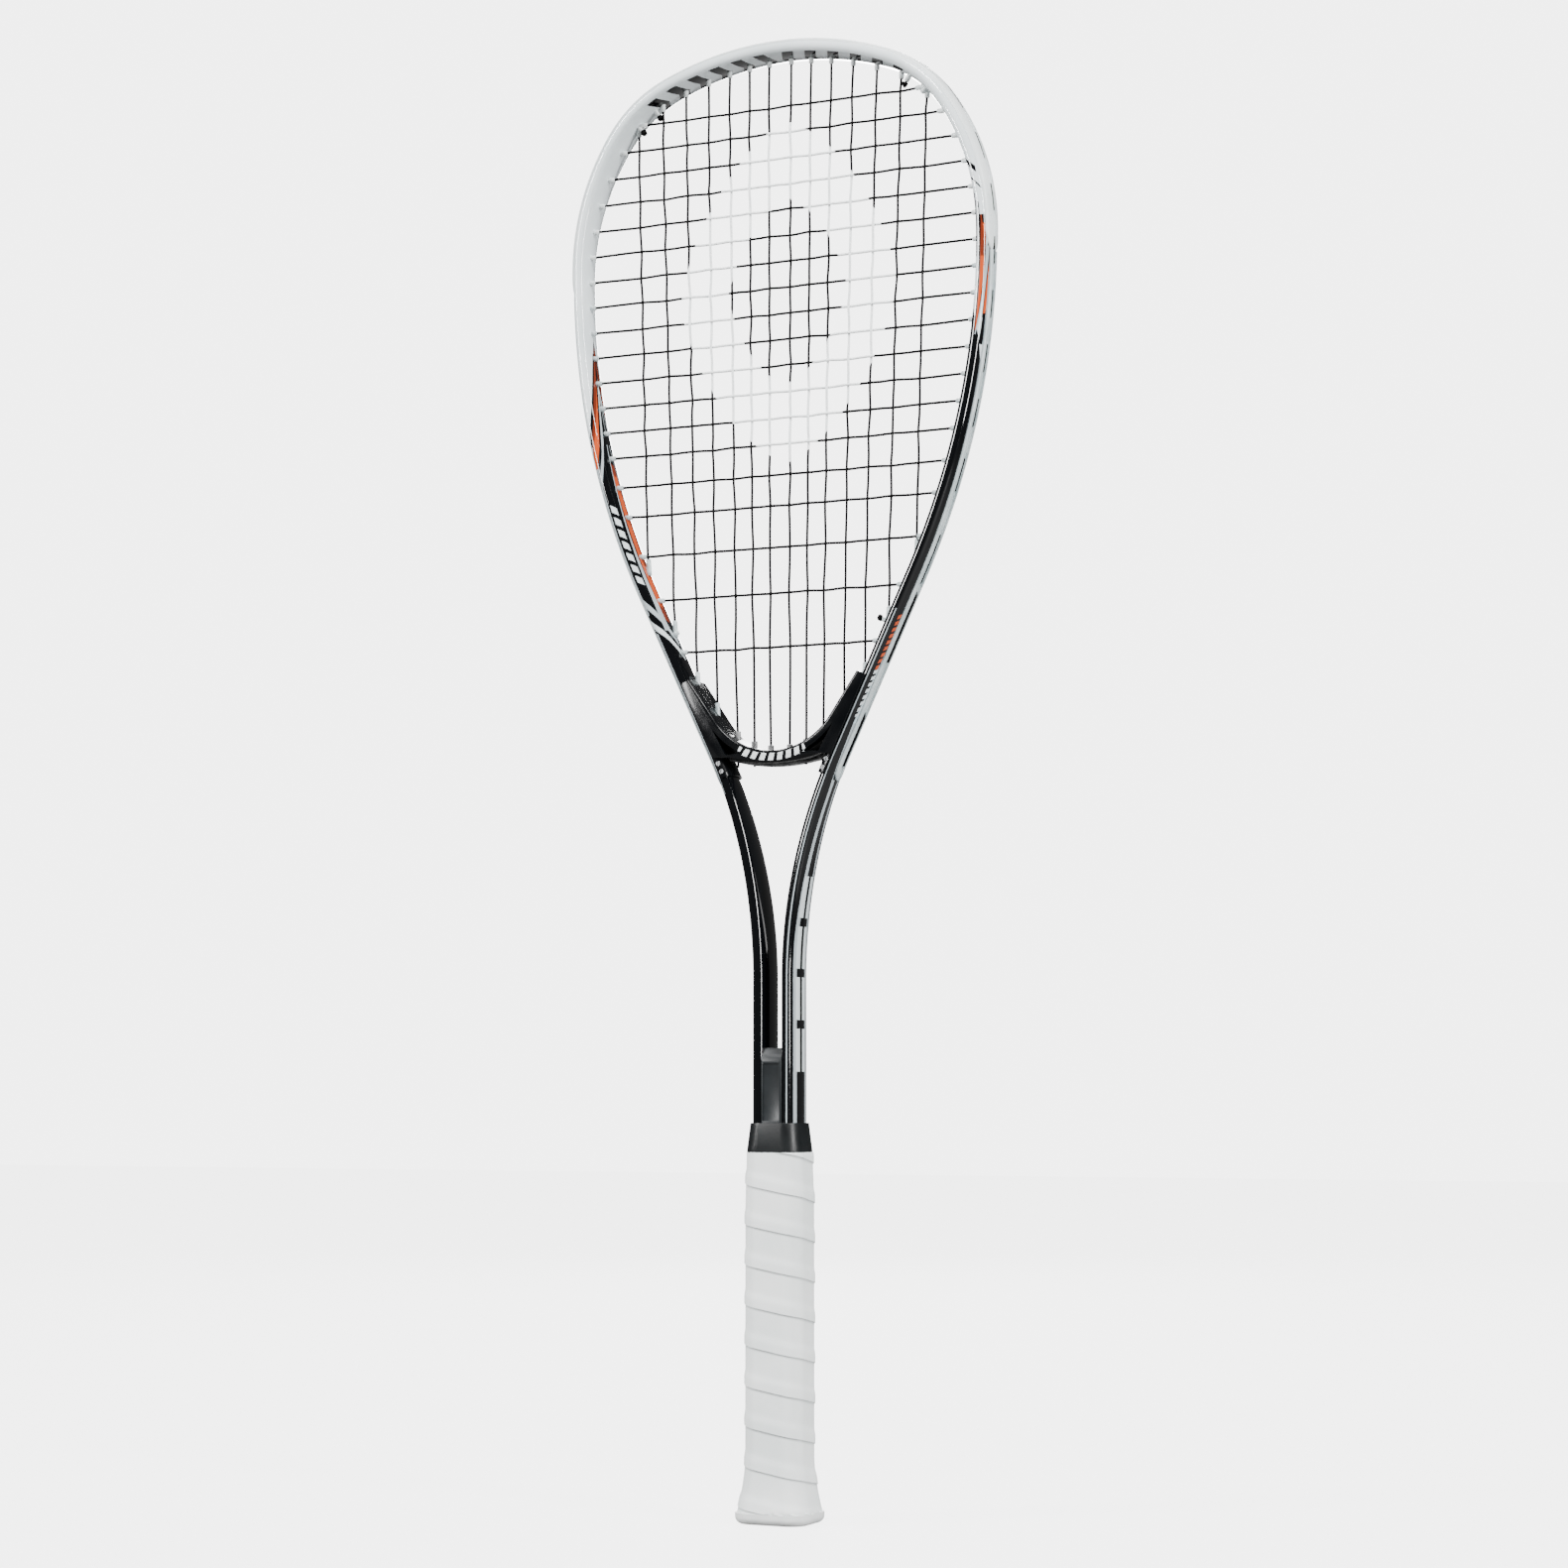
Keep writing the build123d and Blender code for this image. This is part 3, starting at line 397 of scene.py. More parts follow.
def bump(tree, shader, height, depth, strength=1.0):
    """Relief of a depth in mm."""
    node = add(tree, "ShaderNodeBump", {
        "Height": height, "Distance": depth * MM, "Strength": strength})
    tree.links.new(node.outputs[0], shader.inputs["Normal"])
    return node


def mix(tree, share, under, over):
    """Colour over, laid on colour under by a share."""
    node = add(tree, "ShaderNodeMix", data_type="RGBA")
    for socket, value in ((node.inputs[0], share), (node.inputs[6], under), (node.inputs[7], over)):
        if isinstance(value, bpy.types.NodeSocket):
            tree.links.new(value, socket)
        else:
            socket.default_value = value
    return node.outputs[2]


# ---------------------------------------------------------------- paint on the tube
BAND_SIZES = ("Start", "End", "Start Slant", "End Slant", "Low Start", "Low End",
              "High Start", "High End", "Low Bow", "High Bow", "Pitch", "Duty")
SOFT_EDGE = 0.25                  # mm over which one colour of paint gives way to the next


def paint_band():
    """A node group: the mask of one band of paint, by where it starts, ends and lies."""
    group = bpy.data.node_groups.new("Paint Band", "ShaderNodeTree")
    for name in ("Along", "Around") + BAND_SIZES:
        group.interface.new_socket(name, in_out="INPUT", socket_type="NodeSocketFloat")
    group.interface.new_socket("Mask", in_out="OUTPUT", socket_type="NodeSocketFloat")
    given = group.nodes.new("NodeGroupInput").outputs
    out = group.nodes.new("NodeGroupOutput")

    def calc(operation, *values):
        return sums(group, operation, *values)

    def edge(distance):
        return add(group, "ShaderNodeMapRange", {
            "Value": distance, "From Min": -SOFT_EDGE / 2, "From Max": SOFT_EDGE / 2,
        }).outputs[0]

    along, around = given["Along"], given["Around"]
    share = add(group, "ShaderNodeMapRange", {
        "Value": along, "From Min": given["Start"], "From Max": given["End"]}).outputs[0]
    hump = calc("MULTIPLY", calc("MULTIPLY", share, calc("SUBTRACT", 1.0, share)), 4.0)
    limits = []
    for side in ("Low", "High"):
        line = add(group, "ShaderNodeMix", {
            0: share, 2: given[side + " Start"], 3: given[side + " End"]}).outputs[0]
        limits.append(calc("MULTIPLY_ADD", hump, given[side + " Bow"], line))
    cuts = []
    for side in ("Start", "End"):
        cuts.append(calc("SUBTRACT", along, calc("MULTIPLY", given[side + " Slant"], around)))
    mask = calc("MULTIPLY", edge(calc("SUBTRACT", around, limits[0])),
                edge(calc("SUBTRACT", limits[1], around)))
    mask = calc("MULTIPLY", mask, edge(calc("SUBTRACT", cuts[0], given["Start"])))
    mask = calc("MULTIPLY", mask, edge(calc("SUBTRACT", given["End"], cuts[1])))
    beat = calc("FRACT", calc("DIVIDE", calc("SUBTRACT", cuts[0], given["Start"]),
                              given["Pitch"]))
    mask = calc("MULTIPLY", mask, calc("LESS_THAN", beat, given["Duty"]))
    group.links.new(mask, out.inputs["Mask"])
    return group


def band(colour, start, end, low, high, bow=(0, 0), slant=(0, 0), beat=(9999, 2)):
    """One band: lengths along the rim, then its edges from the front's middle line."""
    low = low if isinstance(low, tuple) else (low, low)
    high = high if isinstance(high, tuple) else (high, high)
    return colour, (start, end) + slant + low + high + bow + beat


PAINTS = BLACK, WHITE, SILVER_AND_HIGHLIGHT, PALE, ORANGE, RUST = (
    "black", "white", "silver_and_highlight", "pale", "orange", "rust")
IN, OUT = -30, 30                 # past the tube's inner and outer middle

# A row of equal slanted bars, the same on both sides of the crown.
CROWN_BARS = band(BLACK, 6, 77, IN, -3.3, slant=(0.4, 0.4), beat=(12, 0.5))

LEFT_PAINT = (
    CROWN_BARS,
    # The white gives way to black down the flank.
    band(BLACK, 257, 900, IN, OUT, slant=(1.6, 0)),
    band(BLACK, 190, 264, (-12.8, 2.3), (-11.8, 6.8), bow=(-2.7, -1.2)),
    band(RUST, 193, 262, (-12.6, 2.5), (-12.0, 6.5), bow=(-2.6, -1.3)),
    band(ORANGE, 206, 262, (-12.2, 2.9), (-11.9, 6.3), bow=(-2.4, -1.4)),
    band(BLACK, 192, 268, (-13.6, 1.5), (-12.4, 3.4), bow=(-2.4, -2.4)),
    band(BLACK, 220, 262, (-11.2, -11.5), (-10.8, -2.5), bow=(0, -1)),
    band(BLACK, 200, 247, (-9.8, 1.6), (-9.2, 3.6), bow=(-0.8, -0.8)),
    band(SILVER_AND_HIGHLIGHT, 226, 269, (-9.8, 2.0), (-9.2, 4.2), bow=(-2.0, -2.1)),
    band(BLACK, 243, 346, IN, (-8.6, -7.7)),
    band(RUST, 250, 334, IN, (-8.9, -8.0), slant=(-0.6, -0.6)),
    band(ORANGE, 256, 326, IN, (-9.3, -8.4), slant=(-0.6, -0.6)),
    band(SILVER_AND_HIGHLIGHT, 246, 345, (-10.2, -8.8), (-9.6, -4.0), bow=(2.0, 0.7)),
    band(WHITE, 277, 320, -3.6, -0.2, slant=(-0.7, -0.7), beat=(6.2, 0.62)),
    band(SILVER_AND_HIGHLIGHT, 258, 335, (1.0, 1.6), 4.5),
    band(SILVER_AND_HIGHLIGHT, 329, 334, -11.4, 4.5, slant=(-1.7, -1.7)),
    band(WHITE, 341, 345.5, IN, 4.5, slant=(-1.35, -1.35)),
    band(SILVER_AND_HIGHLIGHT, 345, 430, (1.3, 1.7), (2.6, 2.1)),
)

RIGHT_PAINT = (
    CROWN_BARS,
    band(BLACK, 131.5, 134.8, -6, 1.5, slant=(1.2, 1.2)),
    band(BLACK, 140.2, 141.4, -6, 2.3, slant=(1.2, 1.2)),
    band(BLACK, 147, 175, IN, -1.8, slant=(0.8, 0)),
    band(BLACK, 205, 900, IN, OUT, slant=(2.5, 0)),
    # The wedge between the two orange flashes, then the flashes over it.
    band(BLACK, 152, 215, (4.6, 3.2), (5.2, 6.6), bow=(0.8, 2.2)),
    band(BLACK, 150, 212, (-0.7, -0.5), (0.1, 0.3)),
    band(BLACK, 156, 208, (-0.2, 0.3), (4.0, 0.8), bow=(0.2, 0.8)),
    band(ORANGE, 160, 209, (0.6, 0.2), (3.3, 0.5), bow=(0, 0.5)),
    band(RUST, 156, 175, (0.6, 0.6), (1.2, 3.2)),
    band(SILVER_AND_HIGHLIGHT, 170, 211, (3.6, 0.3), (6.6, 0.8), bow=(0.6, 0.4)),
    band(BLACK, 168, 203, (8.1, 3.6), (10.4, 8.4), bow=(-1.1, 0.6)),
    band(ORANGE, 170, 201, (8.5, 4.2), (10.2, 5.6), bow=(-0.9, 2.6)),
    # The long pale band on the outer side and its grey run to the handle.
    band(PALE, 195, 345, (6.6, 7.6), (9.4, 10.0), slant=(-2, 0)),
    band(PALE, 345, 396, (7.6, 5.0), (9.6, 8.6)),
    band(SILVER_AND_HIGHLIGHT, 396, 430, (5.0, 7.2), (8.6, 9.6)),
    band(SILVER_AND_HIGHLIGHT, 430, 500, (7.2, 4.4), (9.6, 7.2), bow=(0.3, 0.3)),
    band(SILVER_AND_HIGHLIGHT, 500, 900, 4.4, 7.2),
    band(BLACK, 195, 396, (9.8, 8.8), 12),
    band(ORANGE, 345, 372, (4.4, 4.0), (7.4, 6.0), slant=(-0.5, -0.5), beat=(3.1, 0.6)),
    band(WHITE, 372, 395, 4.0, (7.0, 6.4), slant=(-0.5, -0.5), beat=(3.1, 0.6)),
    # A thin silver line along the front edge from the throat down the shaft: a painted highlight,
    # standing for a light's reflection on the edge.
    band(SILVER_AND_HIGHLIGHT, 340, 900, (0.9, -0.4), (1.5, 0.3)),
    # Four pairs of plain bars down the shaft.
    band(WHITE, 470, 560, 6.5, OUT, beat=(23.5, 0.83)),
    band(BLACK, 470, 562, 10.2, OUT),
)


def lacquer():
    """Baked gloss lacquer over graphite: deep, wet highlights and faint orange peel."""
    material, tree, shader, place = finish_named("Gloss Lacquer On Graphite", IOR=1.5)
    shader.inputs["Coat Weight"].default_value = 0.7
    shader.inputs["Coat Roughness"].default_value = 0.03
    shader.inputs["Specular IOR Level"].default_value = 0.25
    lay = add(tree, "ShaderNodeUVMap", uv_map="Lay").outputs[0]
    split = add(tree, "ShaderNodeSeparateXYZ", {0: lay}).outputs
    size = sums(tree, "ABSOLUTE", split["Y"])
    folded = sums(tree, "MINIMUM", size, sums(tree, "SUBTRACT", AROUND, size))
    around = sums(tree, "MULTIPLY", folded, sums(tree, "SIGN", split["Y"]))
    group = paint_band()
    paint = {name: tuple(getattr(colours(), name)) for name in PAINTS}
    shade = mix(tree, spread(tree, noise(tree, place, 40), 0.3, 0.7, 0, 1),
                paint[WHITE], linear("#E4EAEC"))
    for way, bands in ((-1.0, LEFT_PAINT), (1.0, RIGHT_PAINT)):
        along = sums(tree, "MULTIPLY", split["X"], way)
        for colour, sizes in bands:
            inputs = dict(zip(BAND_SIZES, (float(size) for size in sizes)), Along=along,
                          Around=around)
            mask = add(tree, "ShaderNodeGroup", inputs, node_tree=group).outputs["Mask"]
            shade = mix(tree, mask, shade, paint[colour])
    tree.links.new(shade, shader.inputs["Base Color"])
    # Orange peel is about 1 mm across on the real thing; drawn at 2.5 mm so that it shows.
    peel = noise(tree, place, 2.5, 1)
    tree.links.new(spread(tree, noise(tree, place, 18, 4), 0.3, 0.7, 0.06, 0.11),
                   shader.inputs["Roughness"])
    bump(tree, shader, peel, 0.002)
    return material


# ---------------------------------------------------------------- other finishes
def nylon(name, code, clear, rough=0.32):
    """Injection-moulded nylon: milky, a soft satin gloss, faint flow marks."""
    material, tree, shader, place = finish_named(name, IOR=1.53)
    shader.inputs["Subsurface Weight"].default_value = clear
    shader.inputs["Subsurface Radius"].default_value = (0.004, 0.004, 0.004)
    shader.inputs["Subsurface Scale"].default_value = 0.5
    tint = mix(tree, spread(tree, noise(tree, place, 12), 0.35, 0.65, 0, 1), linear(code),
               linear("#FFFFFF"))
    tree.links.new(mix(tree, 0.25, linear(code), tint), shader.inputs["Base Color"])
    tree.links.new(spread(tree, noise(tree, place, 5), 0.3, 0.7, rough - 0.06, rough + 0.08),
                   shader.inputs["Roughness"])
    bump(tree, shader, noise(tree, place, 0.9, 2), 0.02)
    return material


def moulded(name, code, light, rough, grain=0.7, depth=0.03):
    """Moulded black plastic with fine spark-erosion grain and slight wear."""
    material, tree, shader, place = finish_named(name, IOR=1.5)
    tint = mix(tree, spread(tree, noise(tree, place, 9, 5), 0.35, 0.7, 0, 1), linear(code),
               linear(light))
    tree.links.new(tint, shader.inputs["Base Color"])
    tree.links.new(spread(tree, noise(tree, place, 14, 4), 0.3, 0.7, rough - 0.07, rough + 0.08),
                   shader.inputs["Roughness"])
    shader.inputs["Specular IOR Level"].default_value = 0.3
    bump(tree, shader, noise(tree, place, grain, 2), depth)
    return material


def steel():
    """Bright drawn steel: grey, tight gloss, fine draw lines."""
    material, tree, shader, place = finish_named("Drawn Steel", Metallic=1.0)
    stretched = add(tree, "ShaderNodeMapping", {"Vector": place, "Scale": (1, 1, 0.1)}).outputs[0]
    lines = noise(tree, stretched, 0.3, 2)
    tree.links.new(mix(tree, lines, linear("#9A9C9E"), linear("#D2D4D6")),
                   shader.inputs["Base Color"])
    tree.links.new(spread(tree, lines, 0.3, 0.7, 0.2, 0.38), shader.inputs["Roughness"])
    return material


def foam():
    """Rigid polyurethane foam: matt, pale buff, closed pores."""
    material, tree, shader, place = finish_named("Rigid Polyurethane Foam")
    pores = add(tree, "ShaderNodeTexVoronoi", {"Vector": place, "Scale": 1 / (0.8 * MM)}).outputs[0]
    tree.links.new(mix(tree, pores, linear("#B59A6A"), linear("#D9C59A")),
                   shader.inputs["Base Color"])
    shader.inputs["Roughness"].default_value = 0.85
    bump(tree, shader, pores, 0.1)
    return material


def string_coating():
    """Coated nylon string: black, a soft gloss, a pale stencil ring on the upper head."""
    material, tree, shader, place = finish_named("Coated Nylon String", IOR=1.53)
    split = add(tree, "ShaderNodeSeparateXYZ", {0: place}).outputs
    # A plain diamond ring, rounded off by the power, centred above the middle of the head.
    power = 1.5
    across = sums(tree, "POWER", sums(tree, "ABSOLUTE", sums(
        tree, "DIVIDE", sums(tree, "SUBTRACT", split["X"], 0.004), 0.056)), power)
    up = sums(tree, "POWER", sums(tree, "ABSOLUTE", sums(
        tree, "DIVIDE", sums(tree, "SUBTRACT", split["Z"], 0.566), 0.082)), power)
    ring = sums(tree, "ADD", across, up)
    ring = sums(tree, "ADD", ring, sums(tree, "MULTIPLY", noise(tree, place, 3), 0.05))
    inside = sums(tree, "MULTIPLY", sums(tree, "LESS_THAN", ring, 1.0),
                  sums(tree, "GREATER_THAN", ring, 0.42))
    tree.links.new(mix(tree, inside, tuple(colours().string), tuple(colours().stencil)),
                   shader.inputs["Base Color"])
    shader.inputs["Specular IOR Level"].default_value = 0.06
    tree.links.new(spread(tree, inside, 0, 1, 0.5, 0.7), shader.inputs["Roughness"])
    # The coating's spiral is finer than 0.2 mm; drawn at 0.5 mm.
    bump(tree, shader, noise(tree, place, 0.5, 2), 0.03)
    return material


def wrap_leather():
    """White cushioned polyurethane leather: matt sheen, fine pebble, and painted shade along the
    step at each lap's edge.
    """
    material, tree, shader, place = finish_named("Cushioned PU Leather", IOR=1.45)
    shader.inputs["Sheen Weight"].default_value = 0.15
    shader.inputs["Sheen Roughness"].default_value = 0.5
    seam_shade = add(tree, "ShaderNodeAttribute", attribute_name="Seam").outputs["Fac"]
    cells = add(tree, "ShaderNodeTexVoronoi", {"Vector": place, "Scale": 1 / (0.9 * MM)}).outputs[0]
    creases = noise(tree, place, 6, 5, 0.6)
    tint = mix(tree, spread(tree, noise(tree, place, 30, 3), 0.35, 0.65, 0, 1),
               tuple(colours().wrap), linear("#F6F9F8"))
    # Painted shade: the leather is greyed along the step at each lap's edge, where the overlap
    # casts shade.
    tint = mix(tree, sums(tree, "MULTIPLY", seam_shade, 0.55), tint, linear("#9DA3A4"))
    tree.links.new(tint, shader.inputs["Base Color"])
    tree.links.new(spread(tree, creases, 0.3, 0.7, 0.5, 0.66), shader.inputs["Roughness"])
    height = sums(tree, "ADD", sums(tree, "MULTIPLY", cells, 0.25), creases)
    bump(tree, shader, height, 0.12, 0.6)
    return material


def bridge_paint(code, pale):
    """Moulded nylon, lacquered black, with a row of pale printed dashes on its front edge."""
    material, tree, shader, place = finish_named("Glossy Moulded Nylon", IOR=1.5)
    split = add(tree, "ShaderNodeSeparateXYZ", {0: place}).outputs
    flat = add(tree, "ShaderNodeCombineXYZ", {0: split["X"], 1: split["Z"]}).outputs[0]
    from_hub = add(tree, "ShaderNodeVectorMath", {
        0: flat, 1: (0.0, (ARCH_FLOOR + ARCH_RADIUS) * MM, 0.0)}, operation="SUBTRACT").outputs[0]
    radius = add(tree, "ShaderNodeVectorMath", {0: from_hub}, operation="LENGTH").outputs["Value"]
    hub = add(tree, "ShaderNodeSeparateXYZ", {0: from_hub}).outputs
    turn = sums(tree, "ARCTAN2", hub["X"], sums(tree, "MULTIPLY", hub["Y"], -1.0))
    # Dashes slant a little with the distance from the arch.
    leaning = sums(tree, "ADD", turn, sums(tree, "MULTIPLY", radius, 7.0))
    beat = sums(tree, "FRACT", sums(tree, "DIVIDE", leaning, 0.115))
    row = sums(tree, "MULTIPLY", sums(tree, "LESS_THAN", beat, 0.6), sums(
        tree, "LESS_THAN", sums(tree, "ABSOLUTE", turn), 0.46))
    row = sums(tree, "MULTIPLY", row, sums(tree, "LESS_THAN", sums(
        tree, "ABSOLUTE", sums(tree, "SUBTRACT", radius, 0.0381)), 0.0017))
    front = sums(tree, "GREATER_THAN", sums(tree, "ABSOLUTE", split["Y"]), 0.0086)
    row = sums(tree, "MULTIPLY", row, front)
    tree.links.new(mix(tree, row, linear(code), linear(pale)), shader.inputs["Base Color"])
    tree.links.new(spread(tree, noise(tree, place, 10, 4), 0.3, 0.7, 0.16, 0.3),
                   shader.inputs["Roughness"])
    shader.inputs["Coat Weight"].default_value = 0.08
    shader.inputs["Coat Roughness"].default_value = 0.1
    shader.inputs["Specular IOR Level"].default_value = 0.16
    bump(tree, shader, noise(tree, place, 1.4, 2), 0.02)
    return material


# ---------------------------------------------------------------- settings
def size_of(text, size, note):
    return bpy.props.FloatProperty(name=text, description=note, default=size * MM,
                                   min=0.0, unit="LENGTH", precision=4)


def colour_of(text, code, note):
    return bpy.props.FloatVectorProperty(name=text, description=note, subtype="COLOR", size=4,
                                         min=0, max=1, default=linear(code))


class RacketSizes(bpy.types.PropertyGroup):
    station: size_of("Section spacing", 2.5, "Distance between the tube's drawn sections")
    weave: size_of("Weave", 0.55, "How far a string bends at each crossing")
    wander: size_of("Wander", 0.25, "How far a string strays from its even place")
    string: size_of("String", 1.2, "Diameter of the strings")
    wrap_pitch: size_of("Wrap pitch", 18.05, "Rise of the grip wrap in one turn")
    wrap_step: size_of("Wrap step", 0.5, "Height of the step at the wrap's edge")
    strip_half: size_of("Strip half width", 3.5, "Half the width of the grommet strips")


class RacketColours(bpy.types.PropertyGroup):
    black: colour_of("Black", "#050608", "Lacquer of the throat and shafts")
    white: colour_of("White", "#D2DBDD", "Lacquer of the crown")
    silver_and_highlight: colour_of("Silver", "#A5AEB2", "Lines beside the black")
    pale: colour_of("Pale blue", "#B9CBD2", "Band down the right flank")
    orange: colour_of("Orange", "#BC4A20", "Flashes on the flanks")
    rust: colour_of("Rust", "#6E2A18", "Dark ends of the flashes")
    string: colour_of("String", "#070708", "Coating of the strings")
    stencil: colour_of("Stencil", "#F0F3F3", "Ring painted on the strings")
    wrap: colour_of("Wrap", "#E6ECEB", "Leather of the grip")


def colours():
    return bpy.context.scene.racket_colours


def sizes():
    return bpy.context.scene.racket_sizes


# ---------------------------------------------------------------- the frame tube
def signed_places(first, last, spacing):
    count = ceil((last - first) / spacing)
    return [first + (last - first) * i / count for i in range(count + 1)]


def tube_section(along):
    """(outward, deep, v before, v after) round the tube at one place."""
    depth = depth_at(along)
    _, _, quarter = arcs(depth)
    lip = girth_to(GROOVE_HALF, depth)
    sunk = along < STRIP_FOOT + 0.5
    row = []
    for i in range(13):
        row.append((lip * (i / 12), 0))
    for i in range(5):
        row.append((lip + (2 * quarter - 2 * lip) * i / 4, 1))
    for i in range(13):
        row.append((2 * quarter - lip + lip * i / 12, 0))
    points = []
    for girth, floor_point in row:
        x, y = oval_at(girth, depth)
        if floor_point and sunk:
            x = HALF_TUBE - GROOVE_DEPTH
        elif floor_point:
            x -= 0.001
        v = girth / quarter * AROUND / 2
        points.append((x, y, v, v))
    points[-1] = points[-1][:2] + (-AROUND, AROUND)
    for i in range(1, 26):
        girth = 2 * quarter * (1 - i / 26)
        x, y = oval_at(girth, depth)
        v = -girth / quarter * AROUND / 2
        points.append((-x, y, v, v))
    points[0] = points[0][:2] + (0.0, 0.0)
    return points


class RACKET_OT_frame_tube(bpy.types.Operator):
    """Draw the lacquered tube round the head and down to the butt"""
    bl_idname = "racket.frame_tube"
    bl_label = "Frame tube"

    def execute(self, context):
        rows, lay = [], []
        places = signed_places(-RIM_LENGTH, RIM_LENGTH, sizes().station / MM)
        places = [p for p in places if abs(abs(p) - STRIP_FOOT - 0.5) > 0.4]
        for foot in (-1, 1):
            places += [foot * (STRIP_FOOT + 0.45), foot * (STRIP_FOOT + 0.55)]
        for place in sorted(places):
            section = tube_section(abs(place))
            rows.append([on_rim(place, x, y) for x, y, _, _ in section])
            lay.append([(place, before, after) for _, _, before, after in section])
        mesh = grid_mesh("Frame_Tube", rows, lay, caps=True)
        put("Frame_Tube", mesh, lacquer(), ["frame_tube"])
        return {"FINISHED"}


# ---------------------------------------------------------------- bumper and strips
def shell_row(place, half_width, proud, inner):
    """A strip's cross-section: a crowned shell over the tube with a string channel."""
    depth = depth_at(abs(place))
    _, _, quarter = arcs(depth)
    lip = girth_to(min(half_width, depth / 2 - 1.2), depth)
    channel = girth_to(CHANNEL_HALF, depth)
    top = []
    for i in range(9):
        share = i / 8
        girth = lip + (channel - lip) * share
        rise = proud * min(1.0, sqrt(max(0.0, 1 - (1 - min(1.0, share * 2.6)) ** 2)))
        top.append(oval_at(girth, depth, max(rise, 0.06)))
    down = [(CHANNEL_FLOOR + 0.05, top[-1][1]), (CHANNEL_FLOOR + 0.05, 0.0)]
    half = [oval_at(lip, depth, 0.02)] + top + down
    other = [(x, -y) for x, y in reversed(half[:-1])]
    under = []
    for i in range(7):
        girth = 2 * quarter - lip + (2 * lip - 2 * quarter) * (i + 1) / 8
        x, y = oval_at(girth, depth, inner)
        under.append((x, y))
    return half + other + under


def half_width_at(along):
    """The bumper's half width: even, then tapering to a rounded tongue."""
    tongue = 26.0
    left = BUMPER_END - along
    if left > tongue:
        return 8.4
    share = max(left, 0.0) / tongue
    return 2.2 + 6.2 * sqrt(max(0.0, 1 - (1 - share) ** 2.4))


def strip_mesh(name, places, half_width, proud_at):
    rows, lay = [], []
    for place in places:
        row = shell_row(place, half_width(abs(place)), proud_at(abs(place)), -0.5)
        rows.append([on_rim(place, x, y) for x, y in row])
        lay.append([(place, y, y) for _, y in row])
    return grid_mesh(name, rows, lay, caps=True, sharp=40)


def barrel_tree():
    """Geometry Nodes: one flared, open-mouthed barrel on every point of a plan mesh."""
    tree = bpy.data.node_groups.new("Grommet Barrels", "GeometryNodeTree")
    face = tree.interface
    face.new_socket("Plan", in_out="INPUT", socket_type="NodeSocketGeometry")
    for name, size in (("Radius", BARREL_RADIUS), ("Tip Radius", 1.12), ("Length", 8.6)):
        socket = face.new_socket(name, in_out="INPUT", socket_type="NodeSocketFloat")
        socket.default_value = size * MM
    face.new_socket("Finish", in_out="INPUT", socket_type="NodeSocketMaterial")
    face.new_socket("Pieces", in_out="OUTPUT", socket_type="NodeSocketGeometry")
    given = tree.nodes.new("NodeGroupInput").outputs
    out = tree.nodes.new("NodeGroupOutput")
    # The barrel stands on its tip: three rings of a cone, then a rounded lip.
    body = add(tree, "GeometryNodeMeshCone", {
        "Vertices": 16, "Side Segments": 4, "Radius Top": given["Radius"],
        "Radius Bottom": given["Tip Radius"], "Depth": given["Length"]}, fill_type="NGON")
    lip = add(tree, "GeometryNodeMeshUVSphere", {
        "Segments": 16, "Rings": 8, "Radius": given["Tip Radius"]}).outputs["Mesh"]
    squashed = add(tree, "GeometryNodeTransform", {
        "Geometry": lip, "Scale": (1.0, 1.0, 0.45)}).outputs[0]
    both = tree.nodes.new("GeometryNodeJoinGeometry")
    tree.links.new(body.outputs["Mesh"], both.inputs[0])
    tree.links.new(squashed, both.inputs[0])
    smooth = add(tree, "GeometryNodeSetShadeSmooth", {"Geometry": both.outputs[0]}).outputs[0]
    normal = add(tree, "GeometryNodeInputNamedAttribute", {"Name": "Aim"},
                 data_type="FLOAT_VECTOR").outputs[0]
    turn = add(tree, "FunctionNodeAlignRotationToVector", {"Vector": normal}, axis="Z").outputs[0]
    on_points = add(tree, "GeometryNodeInstanceOnPoints", {
        "Points": given["Plan"], "Instance": smooth, "Rotation": turn}).outputs[0]
    real = add(tree, "GeometryNodeRealizeInstances", {"Geometry": on_points}).outputs[0]
    done = add(tree, "GeometryNodeSetMaterial", {
        "Geometry": real, "Material": given["Finish"]}).outputs[0]
    tree.links.new(done, out.inputs[0])
    return tree


def barrels(name, holes, ways, material):
    """Barrels at the holes' tips, aimed outward along each string."""
    plan = bpy.data.meshes.new(name)
    points, aims = [], []
    for hole in holes:
        for way in ways:
            tip = Vector((way * hole.tip[0], hole.lane, hole.tip[1])) * MM
            mouth = Vector((way * hole.mouth[0], hole.lane, hole.mouth[1])) * MM
            points.append(tip + (mouth - tip).normalized() * 0.5 * MM)
            aims.append((mouth - tip).normalized())
    plan.from_pydata(points, [], [])
    aim = plan.attributes.new("Aim", "FLOAT_VECTOR", "POINT")
    aim.data.foreach_set("vector", [c for a in aims for c in a])
    return with_nodes(name, plan, barrel_tree(), {"Finish": material, "Length": 7.4 * MM})


def with_nodes(name, plan, tree, values):
    """Runs a Geometry Nodes tree on a plan mesh and returns the plain result."""
    holder = bpy.data.objects.new(name, plan)
    bpy.context.scene.collection.objects.link(holder)
    growth = holder.modifiers.new("Growth", "NODES")
    growth.node_group = tree
    for item in tree.interface.items_tree:
        if item.in_out == "INPUT" and item.name in values:
            growth[item.identifier] = values[item.name]
    mesh = plain_mesh(holder)
    bpy.data.objects.remove(holder)
    return mesh


def joined(name, *meshes):
    shape = bmesh.new()
    for mesh in meshes:
        shape.from_mesh(mesh)
    mesh = bpy.data.meshes.new(name)
    shape.to_mesh(mesh)
    shape.free()
    return mesh


